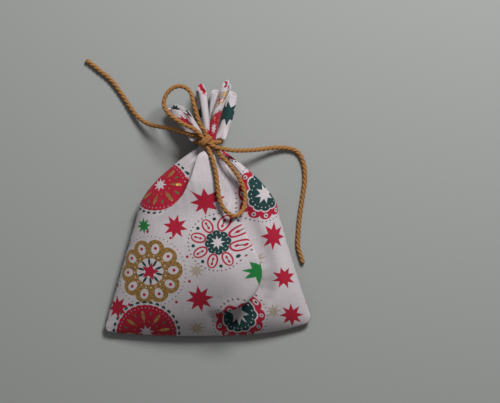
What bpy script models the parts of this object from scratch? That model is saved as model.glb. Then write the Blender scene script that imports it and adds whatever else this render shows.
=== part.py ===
"""A kinchaku drawstring pouch, filled lightly, tied shut with a bow and laid on its back.

Metres, +Z up. +X is the pouch's right as seen from above, +Y points from its bottom edge to its frill.
The origin is under the middle of the cloth, on the table.
"""

import math

import bpy
import bmesh
from mathutils import Vector

# Cloth body
BODY_LENGTH = 0.1195
BOTTOM_WIDTH = 0.1292
SHOULDER_WIDTH = 0.0862
SHOULDER_HEIGHT = 0.0770
BODY_THICKNESS = 0.0240
SEAM_LIFT = 0.0065
EDGE_LIFT = 0.0042
CORNER_RADIUS = 0.0070
RIGHT_CORNER_RISE = 0.0087
LEFT_CORNER_RISE = 0.0025

# Gathered neck
NECK_WIDTH = 0.0126
NECK_THICKNESS = 0.0120
NECK_LIFT = 0.0110
NECK_LENGTH = 0.0064
PLEAT_COUNT = 11
PLEAT_DEPTH = 0.0007

# Folds of the body's front
PLEAT_RISE = 0.0052
PLEAT_REACH = 0.0130
BILLOW_RISE = 0.0062
BILLOW_REACH = 0.0240
BILLOW_START = 0.0360
RIM_START = -0.0020
RIM_FADE = 0.0240
VALLEY_DEPTH = 0.0032
VALLEY_WIDTH = 0.0050
VALLEY_END = -0.0200
VALLEY_FADE = 0.0300
FOLD_SOFTNESS = 0.0022

# Frill above the tie
FRILL_HEIGHT = 0.0385
FOOT_OVERLAP = 0.0012
FOOT_GATHER = 0.22
FOLD_ARCH = 0.0012
MOUTH_WALL = 0.0012
MOUTH_DEPTH = 0.0040

# Cord
CORD_DIAMETER = 0.0028
KNOT_LENGTH = 0.0150
KNOT_WIDTH = 0.0062
KNOT_HEIGHT = 0.0060
KNOT_TURN = math.radians(-37)
KNOT_OFFSET = 0.0011
KNOT_SIDE = math.radians(48)
CLEARANCE = 0.0003

# Fineness of the meshes
FRONT_COLUMNS = 56
ROWS = 44
FOLD_COLUMNS = 16
FOLD_ROWS = 8

BAG_LENGTH = BODY_LENGTH - NECK_LENGTH / 2
TOTAL_LENGTH = BODY_LENGTH + FRILL_HEIGHT
BOTTOM_Y = -TOTAL_LENGTH / 2
NECK_Y = BOTTOM_Y + BODY_LENGTH
NECK_TOP = NECK_LIFT + NECK_THICKNESS / 2
NECK_UNDERSIDE = NECK_LIFT - NECK_THICKNESS / 2

# Fold lines of the front, as routes over the cloth seen from above
PLEAT_EDGE = [(-0.0040, 0.0385), (-0.0070, 0.0293), (-0.0101, 0.0188), (-0.0169, 0.0082), (-0.0343, -0.0054)]
BILLOW_EDGE = [
    (0.0030, 0.0385),
    (0.0060, 0.0231),
    (0.0085, 0.0076),
    (0.0172, -0.0060),
    (0.0246, -0.0221),
    (0.0333, -0.0401),
    (0.0296, -0.0488),
    (0.0209, -0.0600),
    (0.0129, -0.0655),
    (0.0017, -0.0665),
]

# Folds of the frill: where each tip lies, how far it stays below the highest tip, its width and depth
# at its foot and at its tip, and how far the tip is cut on a slant
FRILL_FOLDS = {
    "left_tube": {
        "tip_x": -0.0185,
        "tip_z": 0.0105,
        "drop": 0.0180,
        "foot": (0.0085, 0.0080),
        "tip": (0.0175, 0.0095),
        "slant": -0.013,
        "is_open": True,
    },
    "middle_roll": {
        "tip_x": -0.0033,
        "tip_z": 0.0150,
        "drop": 0.0015,
        "foot": (0.0058, 0.0075),
        "tip": (0.0060, 0.0054),
        "slant": 0.0,
        "is_open": False,
    },
    "back_fold": {
        "tip_x": 0.0034,
        "tip_z": 0.0075,
        "drop": 0.0050,
        "foot": (0.0056, 0.0060),
        "tip": (0.0050, 0.0044),
        "slant": 0.0,
        "is_open": False,
    },
    "right_roll": {
        "tip_x": 0.0116,
        "tip_z": 0.0140,
        "drop": 0.0,
        "foot": (0.0076, 0.0075),
        "tip": (0.0068, 0.0060),
        "slant": 0.0,
        "is_open": False,
    },
    "right_back_fold": {
        "tip_x": 0.0153,
        "tip_z": 0.0080,
        "drop": 0.0080,
        "foot": (0.0098, 0.0070),
        "tip": (0.0066, 0.0050),
        "slant": 0.0,
        "is_open": False,
    },
}

# Cord routes, from the knot outwards
LEFT_TAIL = [
    (-0.0060, 0.0440, 0.0198),
    (-0.0115, 0.0452, 0.0190),
    (-0.0173, 0.0469, 0.0172),
    (-0.0226, 0.0485, 0.0145),
    (-0.0298, 0.0499, 0.0106),
    (-0.0351, 0.0510, 0.0074),
    (-0.0395, 0.0531, 0.0048),
    (-0.0440, 0.0568, 0.0030),
    (-0.0478, 0.0617, 0.0020),
    (-0.0531, 0.0697, 0.0015),
    (-0.0582, 0.0768, 0.0015),
    (-0.0623, 0.0811, 0.0015),
    (-0.0669, 0.0847, 0.0015),
    (-0.0714, 0.0884, 0.0015),
    (-0.0754, 0.0914, 0.0015),
]
RIGHT_TAIL = [
    (0.0082, 0.0362, 0.0204),
    (0.0120, 0.0357, 0.0190),
    (0.0162, 0.0352, 0.0170),
    (0.0223, 0.0353, 0.0134),
    (0.0286, 0.0357, 0.0097),
    (0.0348, 0.0364, 0.0066),
    (0.0405, 0.0371, 0.0044),
    (0.0475, 0.0371, 0.0024),
    (0.0537, 0.0355, 0.0016),
    (0.0575, 0.0314, 0.0015),
    (0.0595, 0.0244, 0.0015),
    (0.0597, 0.0165, 0.0015),
    (0.0582, 0.0054, 0.0015),
    (0.0567, -0.0043, 0.0015),
    (0.0558, -0.0150, 0.0015),
    (0.0556, -0.0240, 0.0015),
    (0.0587, -0.0345, 0.0015),
]
UPPER_LOOP = [
    (-0.0019, 0.0471, 0.0210),
    (-0.0043, 0.0502, 0.0216),
    (-0.0060, 0.0540, 0.0220),
    (-0.0073, 0.0590, 0.0222),
    (-0.0088, 0.0643, 0.0218),
    (-0.0104, 0.0700, 0.0208),
    (-0.0128, 0.0730, 0.0200),
    (-0.0170, 0.0746, 0.0192),
    (-0.0216, 0.0735, 0.0187),
    (-0.0254, 0.0697, 0.0184),
    (-0.0271, 0.0650, 0.0186),
    (-0.0264, 0.0610, 0.0191),
    (-0.0240, 0.0578, 0.0198),
    (-0.0200, 0.0543, 0.0207),
    (-0.0150, 0.0513, 0.0220),
    (-0.0105, 0.0492, 0.0226),
    (-0.0072, 0.0475, 0.0226),
]
LOWER_LOOP = [
    (0.0008, 0.0350, 0.0214),
    (0.0022, 0.0313, 0.0234),
    (0.0035, 0.0275, 0.0250),
    (0.0050, 0.0210, 0.0262),
    (0.0060, 0.0130, 0.0270),
    (0.0070, 0.0060, 0.0276),
    (0.0096, -0.0002, 0.0284),
    (0.0142, -0.0046, 0.0280),
    (0.0186, -0.0044, 0.0260),
    (0.0217, -0.0006, 0.0228),
    (0.0229, 0.0050, 0.0205),
    (0.0221, 0.0114, 0.0194),
    (0.0196, 0.0175, 0.0188),
    (0.0157, 0.0235, 0.0182),
    (0.0115, 0.0285, 0.0183),
    (0.0080, 0.0318, 0.0188),
    (0.0072, 0.0330, 0.0190),
]


def blend(low, high, share):
    """The value at a share of the way from low to high."""
    return low + (high - low) * share


def ease(share):
    """A smooth step from 0 to 1."""
    share = min(max(share, 0.0), 1.0)
    return share * share * (3 - 2 * share)


def half_width(share):
    """Half the cloth's width, at a share of the way from the bottom edge to the neck."""
    height = share * BAG_LENGTH
    if height < SHOULDER_HEIGHT:
        width = blend(BOTTOM_WIDTH, SHOULDER_WIDTH, height / SHOULDER_HEIGHT)
    else:
        closing = min((height - SHOULDER_HEIGHT) / (BAG_LENGTH - SHOULDER_HEIGHT), 1.0)
        width = blend(SHOULDER_WIDTH, NECK_WIDTH, closing**1.6)
    corner = max(1 - height / CORNER_RADIUS, 0.0)
    return width / 2 - CORNER_RADIUS * (1 - math.sqrt(1 - corner * corner))


def top_height(share):
    """The crown of the front, over the middle line."""
    fullest = 0.42
    if share < fullest:
        filling = (1 - (1 - share / fullest) ** 2.6) ** 0.8
        return blend(EDGE_LIFT, BODY_THICKNESS, filling)
    return blend(BODY_THICKNESS, NECK_TOP, ease((share - fullest) / (1 - fullest)))


def seam_height(share):
    """The side seams, which leave the table as the neck rises."""
    low = blend(EDGE_LIFT, SEAM_LIFT, ease(share / 0.3))
    return blend(low, NECK_LIFT, ease((share - 0.5) / 0.5))


def underside_height(share):
    """The back, flat on the table between its lifted bottom edge and its neck."""
    edge = EDGE_LIFT * (1 - ease(share / 0.12)) ** 2
    return edge + NECK_UNDERSIDE * ease((share - 0.8) / 0.2)


def edge_rise(x):
    """How far the bottom edge curves up towards its two corners."""
    middle = -0.010
    right = max(x - middle, 0.0) / (BOTTOM_WIDTH / 2 - middle)
    left = max(middle - x, 0.0) / (BOTTOM_WIDTH / 2 + middle)
    return RIGHT_CORNER_RISE * right**3 + LEFT_CORNER_RISE * left**2


def beside(route, x, y):
    """The distance from a route, positive on its left, and the share of it that is nearest."""
    point = Vector((x, y))
    best = None
    for index, (start, end) in enumerate(zip(route, route[1:])):
        start = Vector(start)
        run = Vector(end) - start
        along = min(max((point - start).dot(run) / run.length_squared, 0.0), 1.0)
        away = point - start - run * along
        if best is None or away.length < abs(best[0]):
            side = math.copysign(1.0, run.x * away.y - run.y * away.x)
            best = (side * away.length, (index + along) / (len(route) - 1))
    return best


def fold_height(x, y):
    """The relief of the front: the pleat under the knot, and the billow with its valley and rim."""
    distance, share = beside(PLEAT_EDGE, x, y)
    inside = 0.5 + 0.5 * math.tanh(distance / FOLD_SOFTNESS)
    fade = ease((1 - share) / 0.5)
    relief = PLEAT_RISE * fade * inside * math.exp(-((distance / PLEAT_REACH) ** 2))
    distance, share = beside(BILLOW_EDGE, x, y)
    distance = -distance
    inside = 0.5 + 0.5 * math.tanh(distance / FOLD_SOFTNESS)
    fade = max(ease((x - RIM_START) / RIM_FADE), ease((y - VALLEY_END) / VALLEY_FADE))
    swelling = ease((NECK_Y - y) / BILLOW_START)
    relief += BILLOW_RISE * fade * swelling * inside * math.exp(-((distance / BILLOW_REACH) ** 2))
    if distance < 0:
        relief -= VALLEY_DEPTH * fade * math.exp(-(((distance + VALLEY_WIDTH) / VALLEY_WIDTH) ** 2))
    return relief


def body_point(around, along):
    """A point of the cloth: around goes from the right seam over the front and back under, along to the frill."""
    angle = math.tau * around
    height = along * (BAG_LENGTH + NECK_LENGTH)
    share = min(height / BAG_LENGTH, 1.0)
    side = math.cos(angle)
    x = half_width(share) * side
    y = BOTTOM_Y + height + edge_rise(x) * (1 - share) ** 2
    seam = seam_height(share)
    gather = ease((share - 0.78) / 0.22)
    pleat = 1 - gather * 2 * PLEAT_DEPTH / NECK_THICKNESS * (1 - math.cos(PLEAT_COUNT * angle)) / 2
    if around <= 0.5:
        crown = (1 - abs(side) ** blend(2.4, 2.0, gather)) ** blend(0.62, 0.5, gather)
        room = (1 - side**8) * ease(share / 0.1) * ease((1 - share) / 0.06)
        z = seam + (top_height(share) - seam) * crown * pleat + fold_height(x, y) * room
    else:
        flat = 1 - max(abs(side) - 0.8, 0.0) ** 2 / 0.04
        belly = blend(flat, math.sqrt(1 - side * side), gather)
        z = seam - (seam - underside_height(share)) * belly * blend(1, pleat, gather)
    return Vector((x, y, z))


def material(name, colour, roughness):
    """A plain surface of one colour."""
    surface = bpy.data.materials.new(name)
    surface.use_nodes = True
    shader = surface.node_tree.nodes["Principled BSDF"]
    shader.inputs["Base Color"].default_value = (*colour, 1.0)
    shader.inputs["Roughness"].default_value = roughness
    shader.inputs["Metallic"].default_value = 0.0
    surface.diffuse_color = (*colour, 1.0)
    return surface


def object_of(name, data, surface=None):
    """A new object in the scene, with its surface."""
    thing = bpy.data.objects.new(name, data)
    bpy.context.scene.collection.objects.link(thing)
    if surface:
        data.materials.append(surface)
    return thing


def wrapped_grid(columns, rows, place):
    """A closed skin: a grid rolled into a tube by place(around, along), welded, and its open ends filled."""
    skin = bmesh.new()
    bmesh.ops.create_grid(skin, x_segments=columns, y_segments=rows, size=0.5)
    for vertex in skin.verts:
        vertex.co = place(vertex.co.x + 0.5, vertex.co.y + 0.5)
    bmesh.ops.remove_doubles(skin, verts=skin.verts, dist=1e-6)
    rims = [edge for edge in skin.edges if edge.is_boundary]
    bmesh.ops.holes_fill(skin, edges=rims, sides=0)
    bmesh.ops.recalc_face_normals(skin, faces=skin.faces)
    return skin


def mesh_of(name, skin):
    """A mesh made from the skin, shaded smooth but for its sharp edges."""
    mesh = bpy.data.meshes.new(name)
    skin.to_mesh(mesh)
    skin.free()
    mesh.shade_smooth()
    mesh.set_sharp_from_angle(angle=math.radians(50))
    return mesh


def make_body():
    """The cloth from its bottom edge to the top of the neck, with its flat underside as one face."""
    skin = wrapped_grid(2 * FRONT_COLUMNS, ROWS, body_point)
    flat = [face for face in skin.faces if all(vertex.co.z < 1e-7 for vertex in face.verts)]
    bmesh.ops.dissolve_faces(skin, faces=flat)
    return mesh_of("pouch", skin)


def fold_point(fold, around, along):
    """A point of one frill fold, which goes from inside the neck to its tip."""
    foot_y = NECK_Y + NECK_LENGTH / 2 - FOOT_OVERLAP
    foot = Vector((fold["tip_x"] * FOOT_GATHER, foot_y, blend(NECK_LIFT, fold["tip_z"], 0.35)))
    tip = Vector((fold["tip_x"], NECK_Y + FRILL_HEIGHT - fold["drop"], fold["tip_z"]))
    spine = foot.lerp(tip, along)
    spine.z += FOLD_ARCH * math.sin(math.pi * along)
    angle = math.tau * around
    width, depth = (blend(low, high, ease(along)) for low, high in zip(fold["foot"], fold["tip"]))
    if not fold["is_open"]:
        closing = max(along - 0.86, 0.0) / 0.14
        point = math.sqrt(max(1 - closing**2, 0.02))
        width *= point
        depth *= point
    heading = (tip - foot).xy.normalized()
    square = Vector((heading.y, -heading.x, 0.0))
    across = Vector((1.0, 0.0, 0.0)).lerp(square, ease(along * 2))
    offset = across * (math.cos(angle) * width / 2)
    offset.z = math.sin(angle) * depth / 2
    offset.y += fold["slant"] * math.cos(angle) * 0.5 * along
    return spine + offset


def make_fold(name, fold):
    """One frill fold as a closed solid, with a shallow mouth where its tip is open."""
    skin = wrapped_grid(FOLD_COLUMNS, FOLD_ROWS, lambda around, along: fold_point(fold, around, along))
    if fold["is_open"]:
        tip = max(skin.faces, key=lambda face: face.calc_center_median().y)
        bmesh.ops.inset_region(skin, faces=[tip], thickness=MOUTH_WALL, use_even_offset=True)
        mouth = bmesh.ops.extrude_discrete_faces(skin, faces=[tip])["faces"][0]
        inward = Vector((-fold["tip_x"], -FRILL_HEIGHT, 0.0)).normalized()
        bmesh.ops.translate(skin, verts=mouth.verts, vec=inward * MOUTH_DEPTH)
        bmesh.ops.recalc_face_normals(skin, faces=skin.faces)
    return mesh_of(name, skin)


def make_pouch():
    """The cloth: body and neck, with the frill's folds joined on."""
    cloth = material("printed_cotton", (0.80, 0.76, 0.78), 0.85)
    pouch = object_of("pouch", make_body(), cloth)
    for name, fold in FRILL_FOLDS.items():
        piece = object_of(name, make_fold(name, fold))
        piece.hide_render = True
        piece.display_type = "WIRE"
        join = pouch.modifiers.new(name, "BOOLEAN")
        join.operation = "UNION"
        join.object = piece
    return pouch


def smooth_route(points, spacing):
    """Points at an even spacing on a smooth curve through the given ones."""
    route = [Vector(point) for point in points]
    padded = [2 * route[0] - route[1], *route, 2 * route[-1] - route[-2]]
    fine = []
    for before, start, end, after in zip(padded, padded[1:], padded[2:], padded[3:]):
        for step in range(20):
            share = step / 20
            pull_in = (end - before) / 2
            pull_out = (after - start) / 2
            square = share * share
            cube = square * share
            fine.append(
                start * (2 * cube - 3 * square + 1)
                + pull_in * (cube - 2 * square + share)
                + end * (3 * square - 2 * cube)
                + pull_out * (cube - square)
            )
    fine.append(route[-1])
    runs = [0.0]
    for start, end in zip(fine, fine[1:]):
        runs.append(runs[-1] + (end - start).length)
    count = max(round(runs[-1] / spacing), 2)
    even = []
    index = 0
    for step in range(count + 1):
        target = runs[-1] * step / count
        while index < len(runs) - 2 and runs[index + 1] < target:
            index += 1
        run = runs[index + 1] - runs[index]
        even.append(fine[index].lerp(fine[index + 1], (target - runs[index]) / run))
    return even


def make_cord(name, route, surface, spacing=2 * CORD_DIAMETER):
    """A length of cord as a round tube along its route."""
    curve = bpy.data.curves.new(name, "CURVE")
    curve.dimensions = "3D"
    curve.bevel_depth = CORD_DIAMETER / 2
    curve.bevel_resolution = 2
    curve.use_fill_caps = True
    points = smooth_route(route, spacing)
    spline = curve.splines.new("POLY")
    spline.points.add(len(points) - 1)
    for target, point in zip(spline.points, points):
        target.co = (*point, 1.0)
    return object_of(name, curve, surface)


def neck_turn_route():
    """The cord's turn round the neck, from one side of the knot under the cloth to the other."""
    clear = CORD_DIAMETER / 2 + CLEARANCE
    reach_x = NECK_WIDTH / 2 + clear
    reach_z = NECK_THICKNESS / 2 + clear
    steps = 14
    route = []
    for step in range(steps + 1):
        angle = blend(KNOT_SIDE, math.tau - KNOT_SIDE, step / steps)
        x = reach_x * math.sin(angle)
        z = NECK_LIFT + reach_z * math.cos(angle)
        route.append((x, NECK_Y, z))
    return route


def make_knot(surface):
    """The bow's knot, a small rounded bundle lying across the front of the neck."""
    skin = bmesh.new()
    bmesh.ops.create_uvsphere(skin, u_segments=16, v_segments=10, radius=0.5)
    for vertex in skin.verts:
        x, y, z = vertex.co
        fullness = math.sqrt(1 + 4 * x * x)
        vertex.co = Vector((x * KNOT_LENGTH, y * KNOT_WIDTH * fullness, z * KNOT_HEIGHT * fullness))
    knot = object_of("bow_knot", mesh_of("bow_knot", skin), surface)
    knot.location = (KNOT_OFFSET, NECK_Y, NECK_TOP + CLEARANCE + KNOT_HEIGHT / 2)
    knot.rotation_euler = (0.0, 0.0, KNOT_TURN)
    return knot


def main():
    for thing in list(bpy.data.objects):
        bpy.data.objects.remove(thing, do_unlink=True)
    make_pouch()
    twine = material("brown_twine", (0.30, 0.13, 0.03), 0.9)
    make_cord("neck_cord", neck_turn_route(), twine, spacing=CORD_DIAMETER)
    make_knot(twine)
    make_cord("left_tail", LEFT_TAIL, twine)
    make_cord("right_tail", RIGHT_TAIL, twine)
    make_cord("upper_loop", UPPER_LOOP, twine)
    make_cord("lower_loop", LOWER_LOOP, twine)


main()
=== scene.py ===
"""A printed cotton pouch, gathered and tied with a twine bow, lying on its back on a pale table."""

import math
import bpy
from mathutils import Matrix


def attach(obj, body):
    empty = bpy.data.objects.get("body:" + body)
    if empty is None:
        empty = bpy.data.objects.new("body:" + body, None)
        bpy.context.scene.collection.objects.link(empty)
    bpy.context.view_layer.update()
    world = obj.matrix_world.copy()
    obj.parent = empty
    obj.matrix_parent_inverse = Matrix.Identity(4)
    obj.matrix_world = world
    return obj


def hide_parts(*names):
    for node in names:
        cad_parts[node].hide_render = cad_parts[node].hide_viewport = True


bl_info = {
    "name": "Drawstring Pouch",
    "version": (1, 0, 0),
    "blender": (4, 5, 0),
    "location": "View3D > Sidebar > Pouch",
    "description": "Builds a gathered cotton pouch with a twine bow round its neck",
    "category": "Add Mesh",
}

import bmesh
import bpy
from mathutils import Matrix, Vector, noise

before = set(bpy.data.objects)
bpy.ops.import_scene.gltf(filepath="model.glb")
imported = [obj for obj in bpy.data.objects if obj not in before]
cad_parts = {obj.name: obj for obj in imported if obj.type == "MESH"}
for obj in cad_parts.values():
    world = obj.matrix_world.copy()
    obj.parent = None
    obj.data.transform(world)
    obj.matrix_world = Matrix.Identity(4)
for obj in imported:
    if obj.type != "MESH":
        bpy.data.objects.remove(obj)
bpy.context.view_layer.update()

# Cloth body, as in the part
BODY_LENGTH = 0.1195
BOTTOM_WIDTH = 0.1292
SHOULDER_WIDTH = 0.0862
SHOULDER_HEIGHT = 0.0770
BODY_THICKNESS = 0.0240
SEAM_LIFT = 0.0065
EDGE_LIFT = 0.0042
CORNER_RADIUS = 0.0054
RIGHT_CORNER_RISE = 0.0087
LEFT_CORNER_RISE = 0.0025
EDGE_MIDDLE = -0.0100

# Shares of the way from the bottom edge to the neck
FULLEST = 0.42
SEAM_RISE_END = 0.3
SEAM_NECK_START = 0.5
EDGE_CURL_END = 0.12
BACK_RISE_START = 0.8
FOLDS_START = 0.1
FOLDS_STOP_SHORT = 0.06
GATHER_START = 0.78

# Powers of the cloth's curves: the filling's steepness and roundness, then the crown's sides and top,
# each from the body to the gathered neck, the seams' stiffness and the closing of the neck
FILLING_POWERS = (2.6, 0.8)
CROWN_SIDES = (2.4, 2.0)
CROWN_TOP = (0.62, 0.5)
SEAM_STIFFNESS = 8
CLOSING_POWER = 1.6

# How much of the back is flat, and how far the grid's columns crowd towards the seams
BACK_FLATNESS = 0.8
ROUND_SHARE = 0.62

# Gathered neck
NECK_WIDTH = 0.0126
NECK_THICKNESS = 0.0120
NECK_LIFT = 0.0110
NECK_LENGTH = 0.0064
NECK_SHRINK = 0.38
NECK_SHRINK_LEAD = 0.0006

# The pleat that runs down to the left from the knot
PLEAT_RISE = 0.0052
PLEAT_REACH = 0.0130
PLEAT_OVERHANG = 3.2
PLEAT_PINCH = 0.0036
PLEAT_SET_ASIDE = 0.0022
PLEAT_RUN_OUT = 0.0040
PLEAT_FADE = 0.0260

# The billow right of it, and the panel between them
BILLOW_RISE = 0.0086
BILLOW_MIDDLE = (0.0150, -0.0360)
BILLOW_REACH = (0.0290, 0.0270)
BILLOW_START = 0.0360
BILLOW_PINCH = 0.0044
BILLOW_SET_ASIDE = 0.0010
PANEL_RISE = 0.0034
PANEL_REACH = 0.0130
PANEL_END = -0.0240
PANEL_FADE = 0.0300

# The billow's rim, and the valley under it
RIM_START = -0.0020
RIM_FADE = 0.0240
RIM_DROP = 0.0034
RIM_DROP_START = -0.0360
RIM_DROP_FADE = 0.0160
RIM_OVERHANG = 3.0
VALLEY_OVERHANG = 2.8
OVERHANG_CHANGE = -0.0120
OVERHANG_FADE = 0.0260
VALLEY_DEPTH = 0.0056
VALLEY_WIDTH = 0.0062
VALLEY_END = -0.0200
VALLEY_FADE = 0.0300

# The crease in the billow
CREASE_DEPTH = 0.0026
CREASE_WIDTH = 0.0034
CREASE_SOFTNESS = 0.0007
CREASE_TOP = 0.0160
CREASE_TOP_FADE = 0.0140
CREASE_BOTTOM = -0.0340
CREASE_BOTTOM_FADE = 0.0300

# How softly all folds turn, how finely their lines are laid, and how much of the print they hide
FOLD_SOFTNESS = 0.0016
FOLD_SPACING = 0.004
PLEAT_TUCK = 0.0080
RIM_TUCK = 0.0060
TUCK_SOFTNESS = 0.0010
TUCK_CENTRE = 0.0015

# A point's height in the print: mostly its level, stretched, and a share of the cloth's length up to it
LEVEL_STRETCH = 1.06
RISE_SHARE = 0.3

# Wrinkles as layers of noise: how fast each changes across and along, and its seed
SOFT_WRINKLES = ((38.0, 24.0, 0.7), (80.0, 48.0, 5.2))
FRONT_TUCKS = ((13.0, 0.7, 4.3), (27.0, 1.2, 2.2))
BACK_TUCKS = ((13.0, 0.7, 9.1), (27.0, 1.2, 2.2))
SOFT_STRENGTH = 0.7
FRONT_TUCK_STRENGTH = 1.5
BACK_TUCK_STRENGTH = 0.8
TUCKS_START = 0.62
TUCKS_FADE = 0.3
SMOOTH_SHARE = 0.8
SMOOTH_MIDDLE = 0.0020
SMOOTH_REACH = 0.0090

# Puckers of the side seams: how far they pull in and lift, how far in they reach, and their rate along
PUCKER_IN = 0.0005
PUCKER_LIFT = 0.0004
PUCKER_REACH = 0.06
PUCKER_RATE = 190.0
PUCKER_SEED = 3.1

# Frill above the tie. The cord holds its first few millimetres closed, and from there on, in shares of
# the way to the lip, it swells, droops over the cord and ripples
FRILL_HEIGHT = 0.0385
FRILL_START = -0.0016
FRILL_ARCH = 0.0012
FRILL_HELD = 0.0034
FOOT_OPENING = 0.90
FOOT_OPENING_END = 0.10
SWELL_START = 0.07
SWELL_MIDDLE = 0.12
SWELL_REACH = 0.24
DROOP_START = 0.05
DROOP_MIDDLE = 0.09
DROOP_REACH = 0.10
DROOP_LEVEL = -0.15
DROOP_FADE = 0.6
DROOP_LIFT = 1.7
COARSE_RIPPLE = (1.3, 2.2)
FINE_RIPPLE = (4.0, 1.5)
FINE_RIPPLE_SHARE = 0.6
FINE_RIPPLE_END = 1.4
RIPPLE_START = 1 / 3
RIPPLE_SEED = 900

# Cloth as it was cut: both sides of the bag from its fold to its hem
CUT_LENGTH = 0.158

# Inside, the turned-in hem shows the print at full strength, and the rest only faintly
HEM_START = 0.150
HEM_SOFTNESS = 0.0003
WRONG_SIDE_FAINTNESS = 0.72

# Fineness of the cloth
BODY_COLUMNS = 304
BODY_ROWS = 116
FRILL_COLUMNS = 44
FRILL_ROWS = 34
SAME_POINT = 1e-6

# Where the seams and the middle of the back lie on the way round
LEFT_SEAM = 0.5
BACK_MIDDLE = 0.75

# Cord: three plies that twist, fray a little and are cut at the free ends
CORD_DIAMETER = 0.0028
CORD_CLEARANCE = 0.0003
PLY_COUNT = 3
PLY_SHARE = 0.56
PLY_OFFSET = 0.44
TWIST_LENGTH = 0.0093
CORD_SIDES = 24
RING_SPACING = 0.0004
CUT_END = (0.55, 0.86, 0.97)
FRAY = 0.035
FRAY_RATE = 900
CORD_PHASE = 1.3
STRAND_PHASE = 0.9
KNOT_SIDE = math.radians(48)
NECK_TURN_STEPS = 14

# Worked out from the sizes above
BAG_LENGTH = BODY_LENGTH - NECK_LENGTH / 2
BOTTOM_Y = -(BODY_LENGTH + FRILL_HEIGHT) / 2
NECK_Y = BOTTOM_Y + BODY_LENGTH
NECK_TOP = NECK_LIFT + NECK_THICKNESS / 2
NECK_UNDERSIDE = NECK_LIFT - NECK_THICKNESS / 2

# Fold lines of the front, as routes over the cloth seen from above
CREASE_EDGE = [(0.0072, 0.0110), (0.0080, -0.0020), (0.0088, -0.0150), (0.0092, -0.0300)]
PLEAT_EDGE = [
    (-0.0040, 0.0385),
    (-0.0070, 0.0293),
    (-0.0101, 0.0188),
    (-0.0169, 0.0082),
    (-0.0343, -0.0054),
]
BILLOW_EDGE = [
    (0.0030, 0.0385),
    (0.0060, 0.0231),
    (0.0085, 0.0076),
    (0.0172, -0.0060),
    (0.0240, -0.0210),
    (0.0292, -0.0310),
    (0.0314, -0.0400),
    (0.0294, -0.0482),
    (0.0240, -0.0556),
    (0.0170, -0.0612),
    (0.0095, -0.0646),
    (0.0017, -0.0655),
]

# What each fold of the frill is given:
# foot, foot_size: the middle of its foot inside the neck (x, z), and the foot's width and depth
# lip, lip_z, depth: the left and right corners of its lip (x, y), and the lip's height and depth
# lens: how far its section narrows to a lens towards the corners
# print: how far the print is moved across it
# ripple: how uneven its section is
# arc, cut: how far the lip's middle stands beyond its corners, and its upper side falls short
# flare, set_out: how soon it widens, and leans over to its lip
# bulge, swell: how far it swells half way, as a share, and just above the tie
# droop: how far its left side (negative) or right side hangs down over the tie
# bend: how far its middle bows to the right
# turns: how often the sheet goes round; one that goes more than once is a roll, and has
# edge, winding: the angle of its free edge at the foot, and how far that winds on up to the lip
# inward, standing: how far the inner turns draw in, and stand out of the lip
PLAIN_FOLD = {
    "flare": 1.0,
    "set_out": 1.0,
    "bulge": 0.0,
    "swell": 0.0,
    "droop": 0.0,
    "bend": 0.0,
    "turns": 1.0,
    "edge": 0.0,
    "winding": 0.0,
    "inward": 0.0,
    "standing": 0.0,
}
FRILL_FOLDS = [
    # Left tube
    dict(
        PLAIN_FOLD,
        foot=(-0.0032, 0.0108),
        foot_size=(0.0060, 0.0080),
        lip=((-0.0250, 0.0610), (-0.0094, 0.0556)),
        lip_z=0.0086,
        depth=0.0082,
        arc=0.0032,
        flare=0.42,
        set_out=0.72,
        lens=1.25,
        bulge=0.10,
        swell=0.0003,
        droop=-0.0040,
        cut=0.0017,
        ripple=0.07,
        print=-0.040,
    ),
    # Left back fold
    dict(
        PLAIN_FOLD,
        foot=(-0.0014, 0.0100),
        foot_size=(0.0048, 0.0040),
        lip=((-0.0078, 0.0722), (-0.0026, 0.0726)),
        lip_z=0.0062,
        depth=0.0026,
        arc=0.0004,
        lens=1.6,
        cut=0.0008,
        ripple=0.10,
        print=-0.062,
    ),
    # Middle roll
    dict(
        PLAIN_FOLD,
        foot=(-0.0004, 0.0134),
        foot_size=(0.0046, 0.0058),
        lip=((-0.0067, 0.0736), (-0.0009, 0.0714)),
        lip_z=0.0122,
        depth=0.0056,
        arc=0.0007,
        lens=1.05,
        bulge=-0.08,
        bend=0.0003,
        cut=0.0025,
        turns=1.5,
        edge=0.25,
        winding=-0.30,
        inward=0.34,
        standing=0.0012,
        ripple=0.045,
        print=-0.018,
    ),
    # Back fold
    dict(
        PLAIN_FOLD,
        foot=(0.0012, 0.0096),
        foot_size=(0.0048, 0.0044),
        lip=((0.0018, 0.0716), (0.0076, 0.0710)),
        lip_z=0.0072,
        depth=0.0034,
        arc=0.0006,
        lens=1.6,
        cut=0.0010,
        ripple=0.10,
        print=0.035,
    ),
    # Right roll
    dict(
        PLAIN_FOLD,
        foot=(0.0030, 0.0134),
        foot_size=(0.0056, 0.0060),
        lip=((0.0078, 0.0730), (0.0144, 0.0742)),
        lip_z=0.0118,
        depth=0.0064,
        arc=0.0006,
        flare=0.8,
        lens=1.05,
        bulge=0.06,
        bend=-0.0016,
        cut=0.0026,
        turns=-2.1,
        edge=4.96,
        winding=-5.2,
        inward=0.46,
        standing=0.0030,
        ripple=0.05,
        print=0.015,
    ),
    # Right back fold
    dict(
        PLAIN_FOLD,
        foot=(0.0034, 0.0100),
        foot_size=(0.0056, 0.0070),
        lip=((0.0117, 0.0712), (0.0178, 0.0694)),
        lip_z=0.0064,
        depth=0.0036,
        arc=0.0004,
        flare=0.46,
        set_out=0.44,
        lens=1.5,
        bulge=0.06,
        swell=0.0002,
        droop=0.0032,
        bend=0.0004,
        cut=0.0012,
        ripple=0.08,
        print=0.052,
    ),
]

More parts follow.
